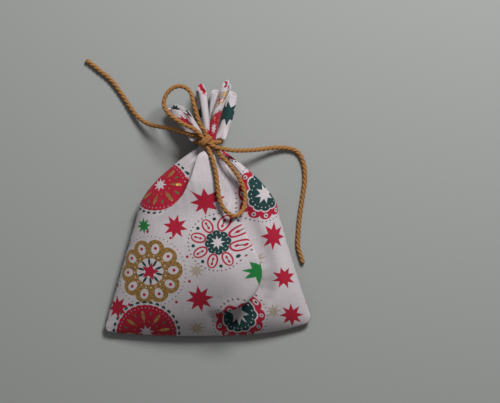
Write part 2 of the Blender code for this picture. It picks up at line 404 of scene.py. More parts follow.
# Cord routes, from the knot outwards
LEFT_TAIL = [
    (-0.0060, 0.0440, 0.0198),
    (-0.0115, 0.0452, 0.0190),
    (-0.0173, 0.0469, 0.0172),
    (-0.0226, 0.0485, 0.0145),
    (-0.0298, 0.0499, 0.0106),
    (-0.0351, 0.0510, 0.0074),
    (-0.0395, 0.0531, 0.0048),
    (-0.0440, 0.0568, 0.0030),
    (-0.0478, 0.0617, 0.0020),
    (-0.0531, 0.0697, 0.0015),
    (-0.0582, 0.0768, 0.0015),
    (-0.0623, 0.0811, 0.0015),
    (-0.0669, 0.0847, 0.0015),
    (-0.0714, 0.0884, 0.0015),
    (-0.0754, 0.0914, 0.0015),
]
RIGHT_TAIL = [
    (0.0082, 0.0362, 0.0204),
    (0.0120, 0.0357, 0.0190),
    (0.0162, 0.0352, 0.0170),
    (0.0223, 0.0353, 0.0134),
    (0.0286, 0.0357, 0.0097),
    (0.0348, 0.0364, 0.0066),
    (0.0405, 0.0371, 0.0044),
    (0.0475, 0.0371, 0.0024),
    (0.0537, 0.0355, 0.0016),
    (0.0575, 0.0314, 0.0015),
    (0.0595, 0.0244, 0.0015),
    (0.0597, 0.0165, 0.0015),
    (0.0582, 0.0054, 0.0015),
    (0.0567, -0.0043, 0.0015),
    (0.0558, -0.0150, 0.0015),
    (0.0556, -0.0240, 0.0015),
    (0.0587, -0.0345, 0.0015),
]
UPPER_LOOP = [
    (-0.0019, 0.0471, 0.0210),
    (-0.0043, 0.0502, 0.0216),
    (-0.0060, 0.0540, 0.0220),
    (-0.0073, 0.0590, 0.0222),
    (-0.0088, 0.0643, 0.0218),
    (-0.0104, 0.0700, 0.0208),
    (-0.0128, 0.0730, 0.0200),
    (-0.0170, 0.0746, 0.0192),
    (-0.0216, 0.0735, 0.0187),
    (-0.0254, 0.0697, 0.0184),
    (-0.0271, 0.0650, 0.0186),
    (-0.0264, 0.0610, 0.0191),
    (-0.0240, 0.0578, 0.0198),
    (-0.0200, 0.0543, 0.0207),
    (-0.0150, 0.0513, 0.0220),
    (-0.0105, 0.0492, 0.0226),
    (-0.0072, 0.0475, 0.0226),
]
LOWER_LOOP = [
    (0.0008, 0.0350, 0.0214),
    (0.0022, 0.0313, 0.0234),
    (0.0035, 0.0275, 0.0250),
    (0.0050, 0.0210, 0.0262),
    (0.0060, 0.0130, 0.0270),
    (0.0070, 0.0060, 0.0276),
    (0.0096, -0.0002, 0.0284),
    (0.0142, -0.0046, 0.0280),
    (0.0186, -0.0044, 0.0260),
    (0.0217, -0.0006, 0.0228),
    (0.0229, 0.0050, 0.0205),
    (0.0221, 0.0114, 0.0194),
    (0.0196, 0.0175, 0.0188),
    (0.0157, 0.0235, 0.0182),
    (0.0115, 0.0285, 0.0183),
    (0.0080, 0.0318, 0.0188),
    (0.0072, 0.0330, 0.0190),
]

# Strands of the knot: three that lie side by side across the neck, and two up from the neck turn
KNOT_STRANDS = [
    [
        (-0.0066, 0.0441, 0.0198),
        (-0.0048, 0.0427, 0.0197),
        (-0.0028, 0.0404, 0.0195),
        (-0.0013, 0.0384, 0.0199),
        (-0.0001, 0.0366, 0.0208),
        (0.0010, 0.0344, 0.0217),
    ],
    [
        (-0.0078, 0.0479, 0.0226),
        (-0.0055, 0.0457, 0.0225),
        (-0.0034, 0.0433, 0.0219),
        (-0.0014, 0.0411, 0.0215),
        (0.0014, 0.0390, 0.0216),
        (0.0046, 0.0373, 0.0213),
        (0.0088, 0.0361, 0.0202),
    ],
    [
        (-0.0022, 0.0475, 0.0211),
        (-0.0015, 0.0452, 0.0206),
        (-0.0006, 0.0427, 0.0198),
        (0.0010, 0.0403, 0.0193),
        (0.0033, 0.0379, 0.0192),
        (0.0055, 0.0354, 0.0192),
        (0.0074, 0.0326, 0.0189),
    ],
    [
        (0.0064, 0.0405, 0.0152),
        (0.0058, 0.0404, 0.0168),
        (0.0044, 0.0402, 0.0186),
        (0.0024, 0.0403, 0.0197),
        (0.0002, 0.0407, 0.0203),
    ],
    [
        (-0.0064, 0.0405, 0.0152),
        (-0.0060, 0.0405, 0.0170),
        (-0.0050, 0.0406, 0.0188),
        (-0.0034, 0.0408, 0.0199),
        (-0.0014, 0.0410, 0.0204),
    ],
]

# The wrap that holds the strands: its middle, its heading, and how far it reaches out, up and along
KNOT_MIDDLE = (-0.0016, 0.0409, 0.0210)
KNOT_TURN = math.radians(-40)
WRAP_REACH = (0.0033, 0.0027)
WRAP_LEAN = 0.0014
WRAP_TURNS = 1.9
WRAP_START = -2.4
WRAP_STEPS = 36

# How soft the printed edges are
STAR_EDGE = (-0.008, 0.012)
SCALLOP_EDGE = (-0.012, 0.012)
DOT_EDGE = (1.12, 0.88)
SCALLOP_POWER = 0.6

# Looks of the cotton, its metallic ink and the twine, with painted shade and light on the weave, painted
# glints on the gold ink and painted shade in the twine's grooves
PRINTED_ROUGHNESS = 0.82
WRONG_SIDE_ROUGHNESS = 0.9
PATCH_SCALE = 60.0
PATCH_STRENGTH = 0.10
WEAVE_TONE_AND_SHADE_STRENGTH = 0.42
# Painted glints: the gold ink's colour is lightened and darkened in fine flecks
PAINTED_GLINT_STRENGTH = 2.6
PAINTED_GLINT_SCALE = 900.0
SLUB_RATES = (1500.0, 90.0)
SLUB_HEIGHT = 0.7
SLUB_SHADE = 0.6
CROSSING_HEIGHT = 0.5
# Painted shade and light: the weave's crossings darken the colour where they lie low and lighten it
# where they stand high
CROSSING_SHADE = 0.16
GOLD_METALLIC = 0.75
GOLD_GLOSS = 0.46
WEAVE_DEPTH = 0.00014
TWINE_ROUGHNESS = 0.85
# The twine's grooves get painted shade; its fibres and tufts vary in tone at random
GROOVE_START = 0.24
GROOVE_SHADE = 0.75
FIBRE_RATES = (9.0, 260.0, 1.0)
FIBRE_SHADE = 0.5
FIBRE_DEPTH = 0.00025
TUFT_RATES = (2.0, 120.0, 1.0)
TUFT_SHADE = 0.25

# Camera, lamp and table
SENSOR_WIDTH = 36.0
CAMERA_DISTANCE = 2.5
CAMERA_TARGET = (0.0258, 0.0040, 0.0)
LAMP_SIZE = 0.32
LAMP_PLACE = (0.30, 0.62, 0.66)
TABLE_SIZE = 3.0
TABLE_ROUGHNESS = 0.8
GRAIN_SCALE = 900.0
GRAIN_DARKNESS = 0.97


def colour_setting(name, description, default):
    """A colour that the panel shows."""
    return bpy.props.FloatVectorProperty(
        name=name, description=description, default=default, min=0.0, max=1.0, size=3, subtype="COLOR"
    )


def number_setting(name, description, default, low, high, **kind):
    """A number that the panel shows, with the unit or subtype that it has."""
    limits = {"min": low, "max": high}
    return bpy.props.FloatProperty(name=name, description=description, default=default, **limits, **kind)


class PouchClothSettings(bpy.types.PropertyGroup):
    """The cotton and the inks of its print."""

    thickness: number_setting(
        "Cloth Thickness", "How thick the cotton is", 0.0005, 0.0002, 0.0015, unit="LENGTH"
    )
    thread_pitch: number_setting(
        "Thread Pitch",
        "Distance from one thread of the weave to the next but one",
        0.00085, 0.0003, 0.002, unit="LENGTH",
    )
    wrinkle_height: number_setting(
        "Wrinkle Height",
        "How high the soft wrinkles of the body stand",
        0.0009, 0.0, 0.002, unit="LENGTH",
    )
    ground: colour_setting("Ground", "Colour of the bare cotton", (0.50, 0.455, 0.475))
    crimson: colour_setting(
        "Crimson Ink", "Colour of the red stars and fields", (0.35, 0.006, 0.027)
    )
    pine: colour_setting(
        "Pine Ink", "Colour of the dark green borders and petals", (0.006, 0.036, 0.036)
    )
    leaf: colour_setting("Leaf Ink", "Colour of the bright green stars", (0.010, 0.165, 0.035))
    stone: colour_setting("Stone Ink", "Colour of the small beige stars", (0.36, 0.30, 0.24))
    gold: colour_setting("Gold Ink", "Colour of the metallic ink", (0.50, 0.28, 0.09))
    twig: colour_setting("Twig Ink", "Colour of the fine brown dots", (0.13, 0.075, 0.045))


class PouchCordSettings(bpy.types.PropertyGroup):
    """The twine."""

    diameter: number_setting(
        "Diameter",
        "Thickness of the twine over its plies",
        CORD_DIAMETER, 0.002, 0.0035, unit="LENGTH",
    )
    twist_length: number_setting(
        "Twist Length",
        "Length of twine in which a ply goes once round",
        TWIST_LENGTH, 0.005, 0.02, unit="LENGTH",
    )
    light_fibre: colour_setting(
        "Light Fibre", "Colour of the fibres on the crown of a ply", (0.35, 0.155, 0.036)
    )
    # Painted shade: the colour that the grooves between the plies are darkened to
    painted_groove_shade: colour_setting(
        "Painted Groove Shade", "Painted shade in the grooves between the plies", (0.085, 0.030, 0.008)
    )


class PouchStageSettings(bpy.types.PropertyGroup):
    """The table, the lamps and the camera."""

    table: colour_setting("Table", "Colour of the table", (0.325, 0.335, 0.325))
    lamp_power: number_setting(
        "Lamp Power", "Strength of the soft lamp", 9.6, 0.0, 100.0, subtype="POWER"
    )
    room_light: number_setting("Room Light", "Strength of the light from all round", 0.17, 0.0, 2.0)
    elevation: number_setting(
        "Camera Elevation",
        "Angle of the camera above the table",
        math.radians(89.5), 0.0, math.radians(90), subtype="ANGLE",
    )
    view_width: number_setting(
        "View Width", "Width of table that the picture takes in", 0.309, 0.1, 1.0, unit="LENGTH"
    )


def blend(low, high, share):
    """The value at a share of the way from low to high."""
    return low + (high - low) * share


def ease(share):
    """A smooth step from 0 to 1."""
    share = min(max(share, 0.0), 1.0)
    return share * share * (3 - 2 * share)


def bell(value, width):
    """1 at nought, falling away smoothly over the width."""
    return math.exp(-((value / width) ** 2))


def past(distance, softness):
    """A soft switch from 0 to 1 as the distance passes nought."""
    return 0.5 + 0.5 * math.tanh(distance / softness)


def smooth_route(points, spacing):
    """Points at an even spacing on a smooth curve through the given ones."""
    route = [Vector(point) for point in points]
    padded = [2 * route[0] - route[1], *route, 2 * route[-1] - route[-2]]
    fine = []
    for before, start, end, after in zip(padded, padded[1:], padded[2:], padded[3:]):
        for step in range(20):
            share = step / 20
            pull_in = (end - before) / 2
            pull_out = (after - start) / 2
            square = share * share
            cube = square * share
            fine.append(
                start * (2 * cube - 3 * square + 1)
                + pull_in * (cube - 2 * square + share)
                + end * (3 * square - 2 * cube)
                + pull_out * (cube - square)
            )
    fine.append(route[-1])
    runs = [0.0]
    for start, end in zip(fine, fine[1:]):
        runs.append(runs[-1] + (end - start).length)
    count = max(round(runs[-1] / spacing), 2)
    even = []
    index = 0
    for step in range(count + 1):
        target = runs[-1] * step / count
        while index < len(runs) - 2 and runs[index + 1] < target:
            index += 1
        run = runs[index + 1] - runs[index]
        even.append(fine[index].lerp(fine[index + 1], (target - runs[index]) / run))
    return even


def set_aside(route, step):
    """The route moved sideways to its left, level with the table."""
    moved = []
    for index, point in enumerate(route):
        run = route[min(index + 1, len(route) - 1)] - route[max(index - 1, 0)]
        moved.append(point + Vector((-run.y, run.x, 0.0)).normalized() * step)
    return moved


def fold_route(edge, step=0.0):
    """A fold line as a smooth route on the table, set aside by a step."""
    return set_aside(smooth_route([(*point, 0.0) for point in edge], FOLD_SPACING), step)


CREASE_ROUTE = fold_route(CREASE_EDGE)
PLEAT_ROUTE = fold_route(PLEAT_EDGE, PLEAT_SET_ASIDE)
BILLOW_ROUTE = fold_route(BILLOW_EDGE, -BILLOW_SET_ASIDE)


def half_width(share):
    """Half the cloth's width, at a share of the way from the bottom edge to the neck."""
    height = share * BAG_LENGTH
    if height < SHOULDER_HEIGHT:
        width = blend(BOTTOM_WIDTH, SHOULDER_WIDTH, height / SHOULDER_HEIGHT)
    else:
        closing = min((height - SHOULDER_HEIGHT) / (BAG_LENGTH - SHOULDER_HEIGHT), 1.0)
        width = blend(SHOULDER_WIDTH, NECK_WIDTH, closing**CLOSING_POWER)
    corner = max(1 - height / CORNER_RADIUS, 0.0)
    return width / 2 - CORNER_RADIUS * (1 - math.sqrt(1 - corner * corner))


def top_height(share):
    """The crown of the front, over the middle line."""
    if share < FULLEST:
        steepness, roundness = FILLING_POWERS
        filling = (1 - (1 - share / FULLEST) ** steepness) ** roundness
        return blend(EDGE_LIFT, BODY_THICKNESS, filling)
    return blend(BODY_THICKNESS, NECK_TOP, ease((share - FULLEST) / (1 - FULLEST)))


def seam_height(share):
    """The side seams, which leave the table as the neck rises."""
    low = blend(EDGE_LIFT, SEAM_LIFT, ease(share / SEAM_RISE_END))
    return blend(low, NECK_LIFT, ease((share - SEAM_NECK_START) / (1 - SEAM_NECK_START)))


def underside_height(share):
    """The back, flat on the table between its lifted bottom edge and its neck."""
    edge = EDGE_LIFT * (1 - ease(share / EDGE_CURL_END)) ** 2
    return edge + NECK_UNDERSIDE * ease((share - BACK_RISE_START) / (1 - BACK_RISE_START))


def edge_rise(x):
    """How far the bottom edge curves up towards its two corners."""
    right = max(x - EDGE_MIDDLE, 0.0) / (BOTTOM_WIDTH / 2 - EDGE_MIDDLE)
    left = max(EDGE_MIDDLE - x, 0.0) / (BOTTOM_WIDTH / 2 + EDGE_MIDDLE)
    return RIGHT_CORNER_RISE * right**3 + LEFT_CORNER_RISE * left**2


def beside(route, x, y):
    """The distance from a route, positive on its left, and the step away from its nearest point."""
    best = None
    for start, end in zip(route, route[1:]):
        run_x = end.x - start.x
        run_y = end.y - start.y
        away_x = x - start.x
        away_y = y - start.y
        along = (away_x * run_x + away_y * run_y) / (run_x * run_x + run_y * run_y)
        along = min(max(along, 0.0), 1.0)
        away_x -= run_x * along
        away_y -= run_y * along
        reach = math.hypot(away_x, away_y)
        if best is None or reach < best[0]:
            side = math.copysign(1.0, run_x * away_y - run_y * away_x)
            best = (reach, side, away_x, away_y)
    reach, side, away_x, away_y = best
    return side * reach, away_x, away_y


def pleat_share(y):
    """How much of the pleat's depth is left at a height of the front."""
    return ease((y - PLEAT_EDGE[-1][1] + PLEAT_RUN_OUT) / PLEAT_FADE)


def rim_share(x, y):
    """How deep the fold beside the billow is, at a place on the front."""
    return max(ease((x - RIM_START) / RIM_FADE), ease((y - VALLEY_END) / VALLEY_FADE))


def hidden_cloth(x, y):
    """How far the print is moved on, across and up, by the cloth that the folds hide."""
    distance = beside(PLEAT_ROUTE, x, y)[0]
    across = -PLEAT_TUCK * pleat_share(y) * past(-distance - TUCK_CENTRE, TUCK_SOFTNESS)
    distance, away_x, away_y = beside(BILLOW_ROUTE, x, y)
    under = RIM_TUCK * rim_share(x, y) * past(distance - TUCK_CENTRE, TUCK_SOFTNESS)
    reach = max(math.hypot(away_x, away_y), 2 * TUCK_SOFTNESS)
    return across + under * away_x / reach, under * away_y / reach


def crease_depth(x, y):
    """How deep the crease in the billow is, at a place on the front."""
    distance = beside(CREASE_ROUTE, x, y)[0]
    top = ease((CREASE_TOP - y) / CREASE_TOP_FADE)
    bottom = ease((y - CREASE_BOTTOM) / CREASE_BOTTOM_FADE)
    dip = bell(distance - CREASE_WIDTH / 2, CREASE_WIDTH) * past(distance, CREASE_SOFTNESS)
    return CREASE_DEPTH * top * bottom * dip


def fold_shift(x, y):
    """How the folds move a point of the front: sideways, along and up."""
    distance, away_x, away_y = beside(PLEAT_ROUTE, x, y)
    low_end = pleat_share(y)
    up = PLEAT_RISE * low_end * past(distance, FOLD_SOFTNESS) * bell(distance, PLEAT_REACH)
    pinch = PLEAT_OVERHANG * low_end * bell(distance, PLEAT_PINCH)
    move_x = -away_x * pinch
    move_y = -away_y * pinch
    distance, away_x, away_y = beside(BILLOW_ROUTE, x, y)
    distance = -distance
    inside = past(distance, FOLD_SOFTNESS)
    fade = rim_share(x, y)
    swelling = ease((NECK_Y - y) / BILLOW_START)
    billow = bell(x - BILLOW_MIDDLE[0], BILLOW_REACH[0]) * bell(y - BILLOW_MIDDLE[1], BILLOW_REACH[1])
    up += BILLOW_RISE * billow * (1 - fade * (1 - inside))
    panel = ease((y - PANEL_END) / PANEL_FADE) * swelling * inside
    up += PANEL_RISE * panel * bell(distance, PANEL_REACH)
    if distance < 0:
        depth = VALLEY_DEPTH + RIM_DROP * ease((RIM_DROP_START - y) / RIM_DROP_FADE)
        up -= depth * fade * bell(distance + VALLEY_WIDTH, VALLEY_WIDTH)
    up -= crease_depth(x, y)
    overhang = blend(RIM_OVERHANG, VALLEY_OVERHANG, ease((y - OVERHANG_CHANGE) / OVERHANG_FADE))
    pinch = overhang * fade * swelling * bell(distance, BILLOW_PINCH)
    return Vector((move_x - away_x * pinch, move_y - away_y * pinch, up))


def spread(around):
    """Where a column of the grid lies across the cloth, from 1 at the right seam to -1 at the left."""
    half = around / LEFT_SEAM if around <= LEFT_SEAM else (1 - around) / LEFT_SEAM
    return blend(1 - 2 * half, math.cos(math.tau * around), ROUND_SHARE)


def layered_noise(across, along, layers):
    """Smooth noise in two layers, the second half as strong."""
    strengths = []
    for rate_across, rate_along, seed in layers:
        strengths.append(noise.noise(Vector((across * rate_across, along * rate_along, seed))))
    return strengths[0] + 0.5 * strengths[1]


def flat_place(around, along):
    """Where a point of the cloth lies before it is folded: its side, its height, and its x and y."""
    height = along * (BAG_LENGTH + NECK_LENGTH)
    share = min(height / BAG_LENGTH, 1.0)
    side = min(max(spread(around), -1.0), 1.0)
    x = half_width(share) * side
    return side, height, x, BOTTOM_Y + height + edge_rise(x) * (1 - share) ** 2


def body_point(around, along, wrinkle, folded=True):
    """A point of the cloth, along from its bottom edge to inside the tie.

    Around goes from the right seam over the front to the left seam, and back along the underside.
    """
    side, height, x, y = flat_place(around, along)
    share = min(height / BAG_LENGTH, 1.0)
    sideways = math.sqrt(max(1 - side * side, 0.0))
    seam = seam_height(share)
    gather = ease((share - GATHER_START) / (1 - GATHER_START))
    tucks = 1 - SMOOTH_SHARE * bell(x - SMOOTH_MIDDLE, SMOOTH_REACH)
    tucks *= ease((share - TUCKS_START) / TUCKS_FADE)
    if around <= LEFT_SEAM:
        crown = (1 - abs(side) ** blend(*CROWN_SIDES, gather)) ** blend(*CROWN_TOP, gather)
        room = ease(share / FOLDS_START) * ease((1 - share) / FOLDS_STOP_SHORT)
        room *= 1 - side**SEAM_STIFFNESS
        soft = SOFT_STRENGTH * layered_noise(x, y, SOFT_WRINKLES)
        tuck = FRONT_TUCK_STRENGTH * layered_noise(side, share, FRONT_TUCKS) * tucks
        z = seam + (top_height(share) - seam) * crown + wrinkle * (soft + tuck) * room
        if folded:
            shift = fold_shift(x, y) * room
            x += shift.x
            y += shift.y
            z += shift.z
    else:
        flat = 1 - (max(abs(side) - BACK_FLATNESS, 0.0) / (1 - BACK_FLATNESS)) ** 2
        z = seam - (seam - underside_height(share)) * blend(flat, sideways, gather)
        tuck = max(layered_noise(side, share, BACK_TUCKS), 0.0)
        z += wrinkle * BACK_TUCK_STRENGTH * tuck * tucks * sideways
    pucker = noise.noise(Vector((side * 2.0, height * PUCKER_RATE, PUCKER_SEED)))
    pucker *= bell(1 - abs(side), PUCKER_REACH) * (1 - gather)
    x -= math.copysign(PUCKER_IN, side) * pucker
    z += PUCKER_LIFT * pucker * ease(share / FOLDS_START)
    shrink = NECK_SHRINK * ease((height - BAG_LENGTH + NECK_SHRINK_LEAD) / NECK_LENGTH)
    return Vector((x, y, z)).lerp(Vector((0.0, y, NECK_LIFT)), shrink)


def past_the_tie(fold, along):
    """The share of a frill fold's way that lies beyond the cord, where it can spread."""
    held = FRILL_HELD / (fold["lip"][0][1] - NECK_Y)
    return max(along - held, 0.0) / (1 - held)


def frill_spine(fold, along):
    """The middle of a frill fold at a share of the way from its foot to its lip."""
    foot = Vector((fold["foot"][0], NECK_Y + FRILL_START, fold["foot"][1]))
    left, right = (Vector((*corner, fold["lip_z"])) for corner in fold["lip"])
    middle = (left + right) / 2
    spine = foot.lerp(middle, along)
    spine.x = blend(foot.x, middle.x, past_the_tie(fold, along) ** fold["set_out"])
    spine.x += fold["bend"] * math.sin(math.pi * along)
    spine.z = blend(foot.z, fold["lip_z"], ease(along)) + FRILL_ARCH * math.sin(math.pi * along)
    return spine


def frill_point(fold, around, along):
    """A point of one frill fold, from inside the neck to its hem."""
    left, right = (Vector((*corner, 0.0)) for corner in fold["lip"])
    angle = fold["edge"] + fold["winding"] * along + math.tau * fold["turns"] * around
    across = math.cos(angle)
    up = math.sin(angle)
    opening = blend(FOOT_OPENING, 1.0, ease(along / FOOT_OPENING_END))
    reach = (1 - fold["inward"] * around) * (1 + fold["bulge"] * math.sin(math.pi * along)) * opening
    free = past_the_tie(fold, along)
    swell = fold["swell"] * ease(free / SWELL_START) * bell(free - SWELL_MIDDLE, SWELL_REACH)
    foot = Vector((fold["foot_size"][0] / 2 + swell, 0.0, 0.0))
    half_across = foot.lerp((right - left) / 2, free ** fold["flare"])
    half_depth = blend(fold["foot_size"][1], fold["depth"], ease(along)) / 2
    seed = left.x * RIPPLE_SEED
    round_rate, rate = COARSE_RIPPLE
    ripple = noise.noise(Vector((across * round_rate, up * round_rate, along * rate + seed)))
    round_rate, rate = FINE_RIPPLE
    fine = noise.noise(Vector((across * round_rate, up * round_rate, along * rate - seed)))
    ripple += FINE_RIPPLE_SHARE * fine * (FINE_RIPPLE_END - along)
    ripple *= fold["ripple"] * ease(along / RIPPLE_START)
    lens = blend(1.0, fold["lens"], opening)
    point = frill_spine(fold, along) + half_across * (across * reach * (1 + ripple))
    point.z += math.copysign(abs(up) ** lens, up) * half_depth * reach * (1 + 2 * ripple)
    hem = along**2
    point.y += hem * (fold["arc"] * (1 - across * across) + fold["standing"] * around)
    point.y -= hem * fold["cut"] * up
    over = max(across * math.copysign(1.0, fold["droop"]), 0.0) * ease((up - DROOP_LEVEL) / DROOP_FADE)
    over *= bell(free - DROOP_MIDDLE, DROOP_REACH) * ease(free / DROOP_START)
    drooping = abs(fold["droop"]) * over
    point.y -= drooping
    point.z += drooping * DROOP_LIFT
    return point


def point_table(rows, columns, point_at):
    """The points of a grid, row by row, each found from its shares of the way round and along."""
    table = []
    for row in range(rows + 1):
        table.append([point_at(column / columns, row / rows) for column in range(columns + 1)])
    return table


def lengths_across(rows):
    """For each row of points, the length of cloth from its first point."""
    table = []
    for row in rows:
        runs = [0.0]
        for start, end in zip(row, row[1:]):
            runs.append(runs[-1] + (end - start).length)
        table.append(runs)
    return table


def lengths_along(rows):
    """For each point, the length of cloth up its column from the first row."""
    table = [[0.0] * len(rows[0])]
    for low, high in zip(rows, rows[1:]):
        table.append([run + (end - start).length for run, start, end in zip(table[-1], low, high)])
    return table


def grid_skin(points, places, layer_name):
    """A grid with its vertices at the points, and each one's place in the pattern as its UV."""
    rows = len(points) - 1
    columns = len(points[0]) - 1
    skin = bmesh.new()
    bmesh.ops.create_grid(skin, x_segments=columns, y_segments=rows, size=0.5)
    layer = skin.loops.layers.uv.new(layer_name)
    spots = {}
    for vertex in skin.verts:
        spots[vertex] = (round((vertex.co.y + 0.5) * rows), round((vertex.co.x + 0.5) * columns))
    for face in skin.faces:
        for corner in face.loops:
            row, column = spots[corner.vert]
            corner[layer].uv = places[row][column]
    for vertex, (row, column) in spots.items():
        vertex.co = points[row][column]
    bmesh.ops.remove_doubles(skin, verts=skin.verts, dist=SAME_POINT)
    return skin


def join_skin(skin, other):
    """Adds the other skin to the first."""
    mesh = bpy.data.meshes.new("joining")
    other.to_mesh(mesh)
    other.free()
    skin.from_mesh(mesh)
    bpy.data.meshes.remove(mesh)


def piece_of(name, skin, *surfaces):
    """A new piece of the object from its skin, riding on the one body."""
    mesh = bpy.data.meshes.new(name)
    skin.to_mesh(mesh)
    skin.free()
    mesh.shade_smooth()
    for surface in surfaces:
        mesh.materials.append(surface)
    piece = bpy.data.objects.new(name, mesh)
    bpy.context.scene.collection.objects.link(piece)
    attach(piece, "root")
    return piece


def body_place(around, along, run, rise):
    """Where a point of the bag lies in the print, from the cloth's length across and along to it."""
    on_front = around <= LEFT_SEAM
    seam = LEFT_SEAM if around < BACK_MIDDLE else 1.0
    spot = flat_place(around if on_front else seam, along)
    on_x, on_y = hidden_cloth(spot[2], spot[3])
    kept = 1.0 if on_front else ease(abs(around - BACK_MIDDLE) / (1 - BACK_MIDDLE))
    level = flat_place(around, along)[3] - BOTTOM_Y
    return run + on_x * kept, blend(level * LEVEL_STRETCH, rise, RISE_SHARE) + on_y * kept


def body_skin(wrinkle):
    """The bag from its bottom edge to inside the tie, its print laid on it before it is folded."""
    size = (BODY_ROWS, BODY_COLUMNS)
    points = point_table(*size, lambda around, along: body_point(around, along, wrinkle))
    plain = point_table(*size, lambda around, along: body_point(around, along, 0.0, False))
    middle = BODY_COLUMNS // 4
    places = []
    for row, (runs, rises) in enumerate(zip(lengths_across(plain), lengths_along(plain))):
        places.append([])
        for column, (run, rise) in enumerate(zip(runs, rises)):
            place = body_place(column / BODY_COLUMNS, row / BODY_ROWS, runs[middle] - run, rise)
            places[-1].append(place)
    skin = grid_skin(points, places, "Print")
    bmesh.ops.recalc_face_normals(skin, faces=skin.faces)
    return skin


def frill_skin(fold):
    """One fold of the frill as a thin sheet, its print laid from the hem down."""
    columns = round(FRILL_COLUMNS * abs(fold["turns"]))
    points = point_table(FRILL_ROWS, columns, lambda around, along: frill_point(fold, around, along))
    along = lengths_along(points)
    places = []
    for runs, rises in zip(lengths_across(points), along):
        start = fold["print"] + runs[-1] / 2
        ups = [CUT_LENGTH + rise - top for rise, top in zip(rises, along[-1])]
        places.append([(start - run, up) for run, up in zip(runs, ups)])
    skin = grid_skin(points, places, "Print")
    bmesh.ops.recalc_face_normals(skin, faces=skin.faces)
    skin.normal_update()
    skin.faces.ensure_lookup_table()
    outward = 0.0
    for face in skin.faces:
        middle = face.calc_center_median()
        share = (middle.y - NECK_Y) / (fold["lip"][0][1] - NECK_Y)
        outward += face.normal.dot(middle - frill_spine(fold, share))
    if outward < 0:
        bmesh.ops.reverse_faces(skin, faces=skin.faces)
    return skin


def ply_radius(angle, radius):
    """How far the twine's skin stands from its middle, round its plies."""
    sector = math.tau / PLY_COUNT
    from_crown = (angle + sector / 2) % sector - sector / 2
    offset = PLY_OFFSET * radius
    ply = PLY_SHARE * radius
    return offset * math.cos(from_crown) + math.sqrt(ply * ply - (offset * math.sin(from_crown)) ** 2)


def twine_skin(centres, diameter, twist_length, phase=0.0, is_cut=False):
    """Twisted twine along its centre line, each ring turned on from the last, its far end cut if so."""
    headings = []
    for index in range(len(centres)):
        before = centres[max(index - 1, 0)]
        after = centres[min(index + 1, len(centres) - 1)]
        headings.append((after - before).normalized())
    side = headings[0].orthogonal().normalized()
    points = []
    places = []
    run = 0.0
    for index, (centre, heading) in enumerate(zip(centres, headings)):
        side = (side - heading * side.dot(heading)).normalized()
        other = heading.cross(side)
        if index:
            run += (centre - centres[index - 1]).length
        squeeze = 1.0
        from_end = len(centres) - 1 - index
        if is_cut and from_end < len(CUT_END):
            squeeze = CUT_END[from_end]
        points.append([])
        places.append([])
        for step in range(CORD_SIDES + 1):
            ply_angle = math.tau * step / CORD_SIDES
            angle = ply_angle - math.tau * run / twist_length + phase
            seed = Vector((math.cos(ply_angle) * 2, math.sin(ply_angle) * 2, run * FRAY_RATE))
            fray = 1 + FRAY * noise.noise(seed)
            radius = ply_radius(ply_angle, diameter / 2) * squeeze * fray
            points[-1].append(centre + (side * math.cos(angle) + other * math.sin(angle)) * radius)
            places[-1].append((PLY_COUNT * step / CORD_SIDES, run))
    skin = grid_skin(points, places, "Twist")
    rims = [edge for edge in skin.edges if edge.is_boundary]
    bmesh.ops.holes_fill(skin, edges=rims, sides=0)
    bmesh.ops.recalc_face_normals(skin, faces=skin.faces)
    return skin


class Wiring:
    """Adds nodes to a tree and joins them."""

    def __init__(self, tree):
        self.tree = tree
        self.count = 0

    def place(self, node):
        """Sets the node beside the last one, in columns of five."""
        node.location = (220 * (self.count // 5), -190 * (self.count % 5))
        self.count += 1
        return node

    def feed(self, socket, value):
        """Links a socket to a value that is a socket, or sets it."""
        if isinstance(value, bpy.types.NodeSocket):
            self.tree.links.new(value, socket)
        else:
            socket.default_value = value

    def add(self, kind, inputs, output=0, **settings):
        """A new node with its settings and inputs, giving back one of its outputs."""
        node = self.place(self.tree.nodes.new(kind))
        for name, value in settings.items():
            setattr(node, name, value)
        for key, value in inputs.items():
            self.feed(node.inputs[key], value)
        return node.outputs[output]

    def math(self, operation, *values):
        """A number worked out from numbers."""
        return self.add("ShaderNodeMath", dict(enumerate(values)), operation=operation)

    def vector(self, operation, *values, output=0):
        """A vector worked out from vectors."""
        return self.add("ShaderNodeVectorMath", dict(enumerate(values)), output, operation=operation)

    def parts(self, vector):
        """The parts of a vector."""
        return self.add("ShaderNodeSeparateXYZ", {0: vector}).node.outputs

    def noise(self, point, stretch, **inputs):
        """Noise, finer along the ways in which the point is stretched."""
        place = self.vector("MULTIPLY", point, stretch)
        return self.add("ShaderNodeTexNoise", {"Vector": place, "Scale": 1.0, **inputs})

    def step(self, value, low, high, bottom=0.0, top=1.0):
        """A soft step from bottom to top as the value goes from low to high."""
        inputs = {0: value, 1: low, 2: high, 3: bottom, 4: top}
        return self.add("ShaderNodeMapRange", inputs, interpolation_type="SMOOTHSTEP")

    def mix(self, share, under, over, blend_type="MIX"):
        """A colour between two others."""
        inputs = {0: share, 6: under, 7: over}
        return self.add("ShaderNodeMix", inputs, 2, data_type="RGBA", blend_type=blend_type)

    def group(self, tree, inputs, output=0):
        """A node group with its inputs, giving back one of its outputs, or the node's outputs."""
        node = self.place(self.tree.nodes.new("ShaderNodeGroup"))
        node.node_tree = tree
        for key, value in inputs.items():
            self.feed(node.inputs[key], value)
        return node.outputs if output is None else node.outputs[output]


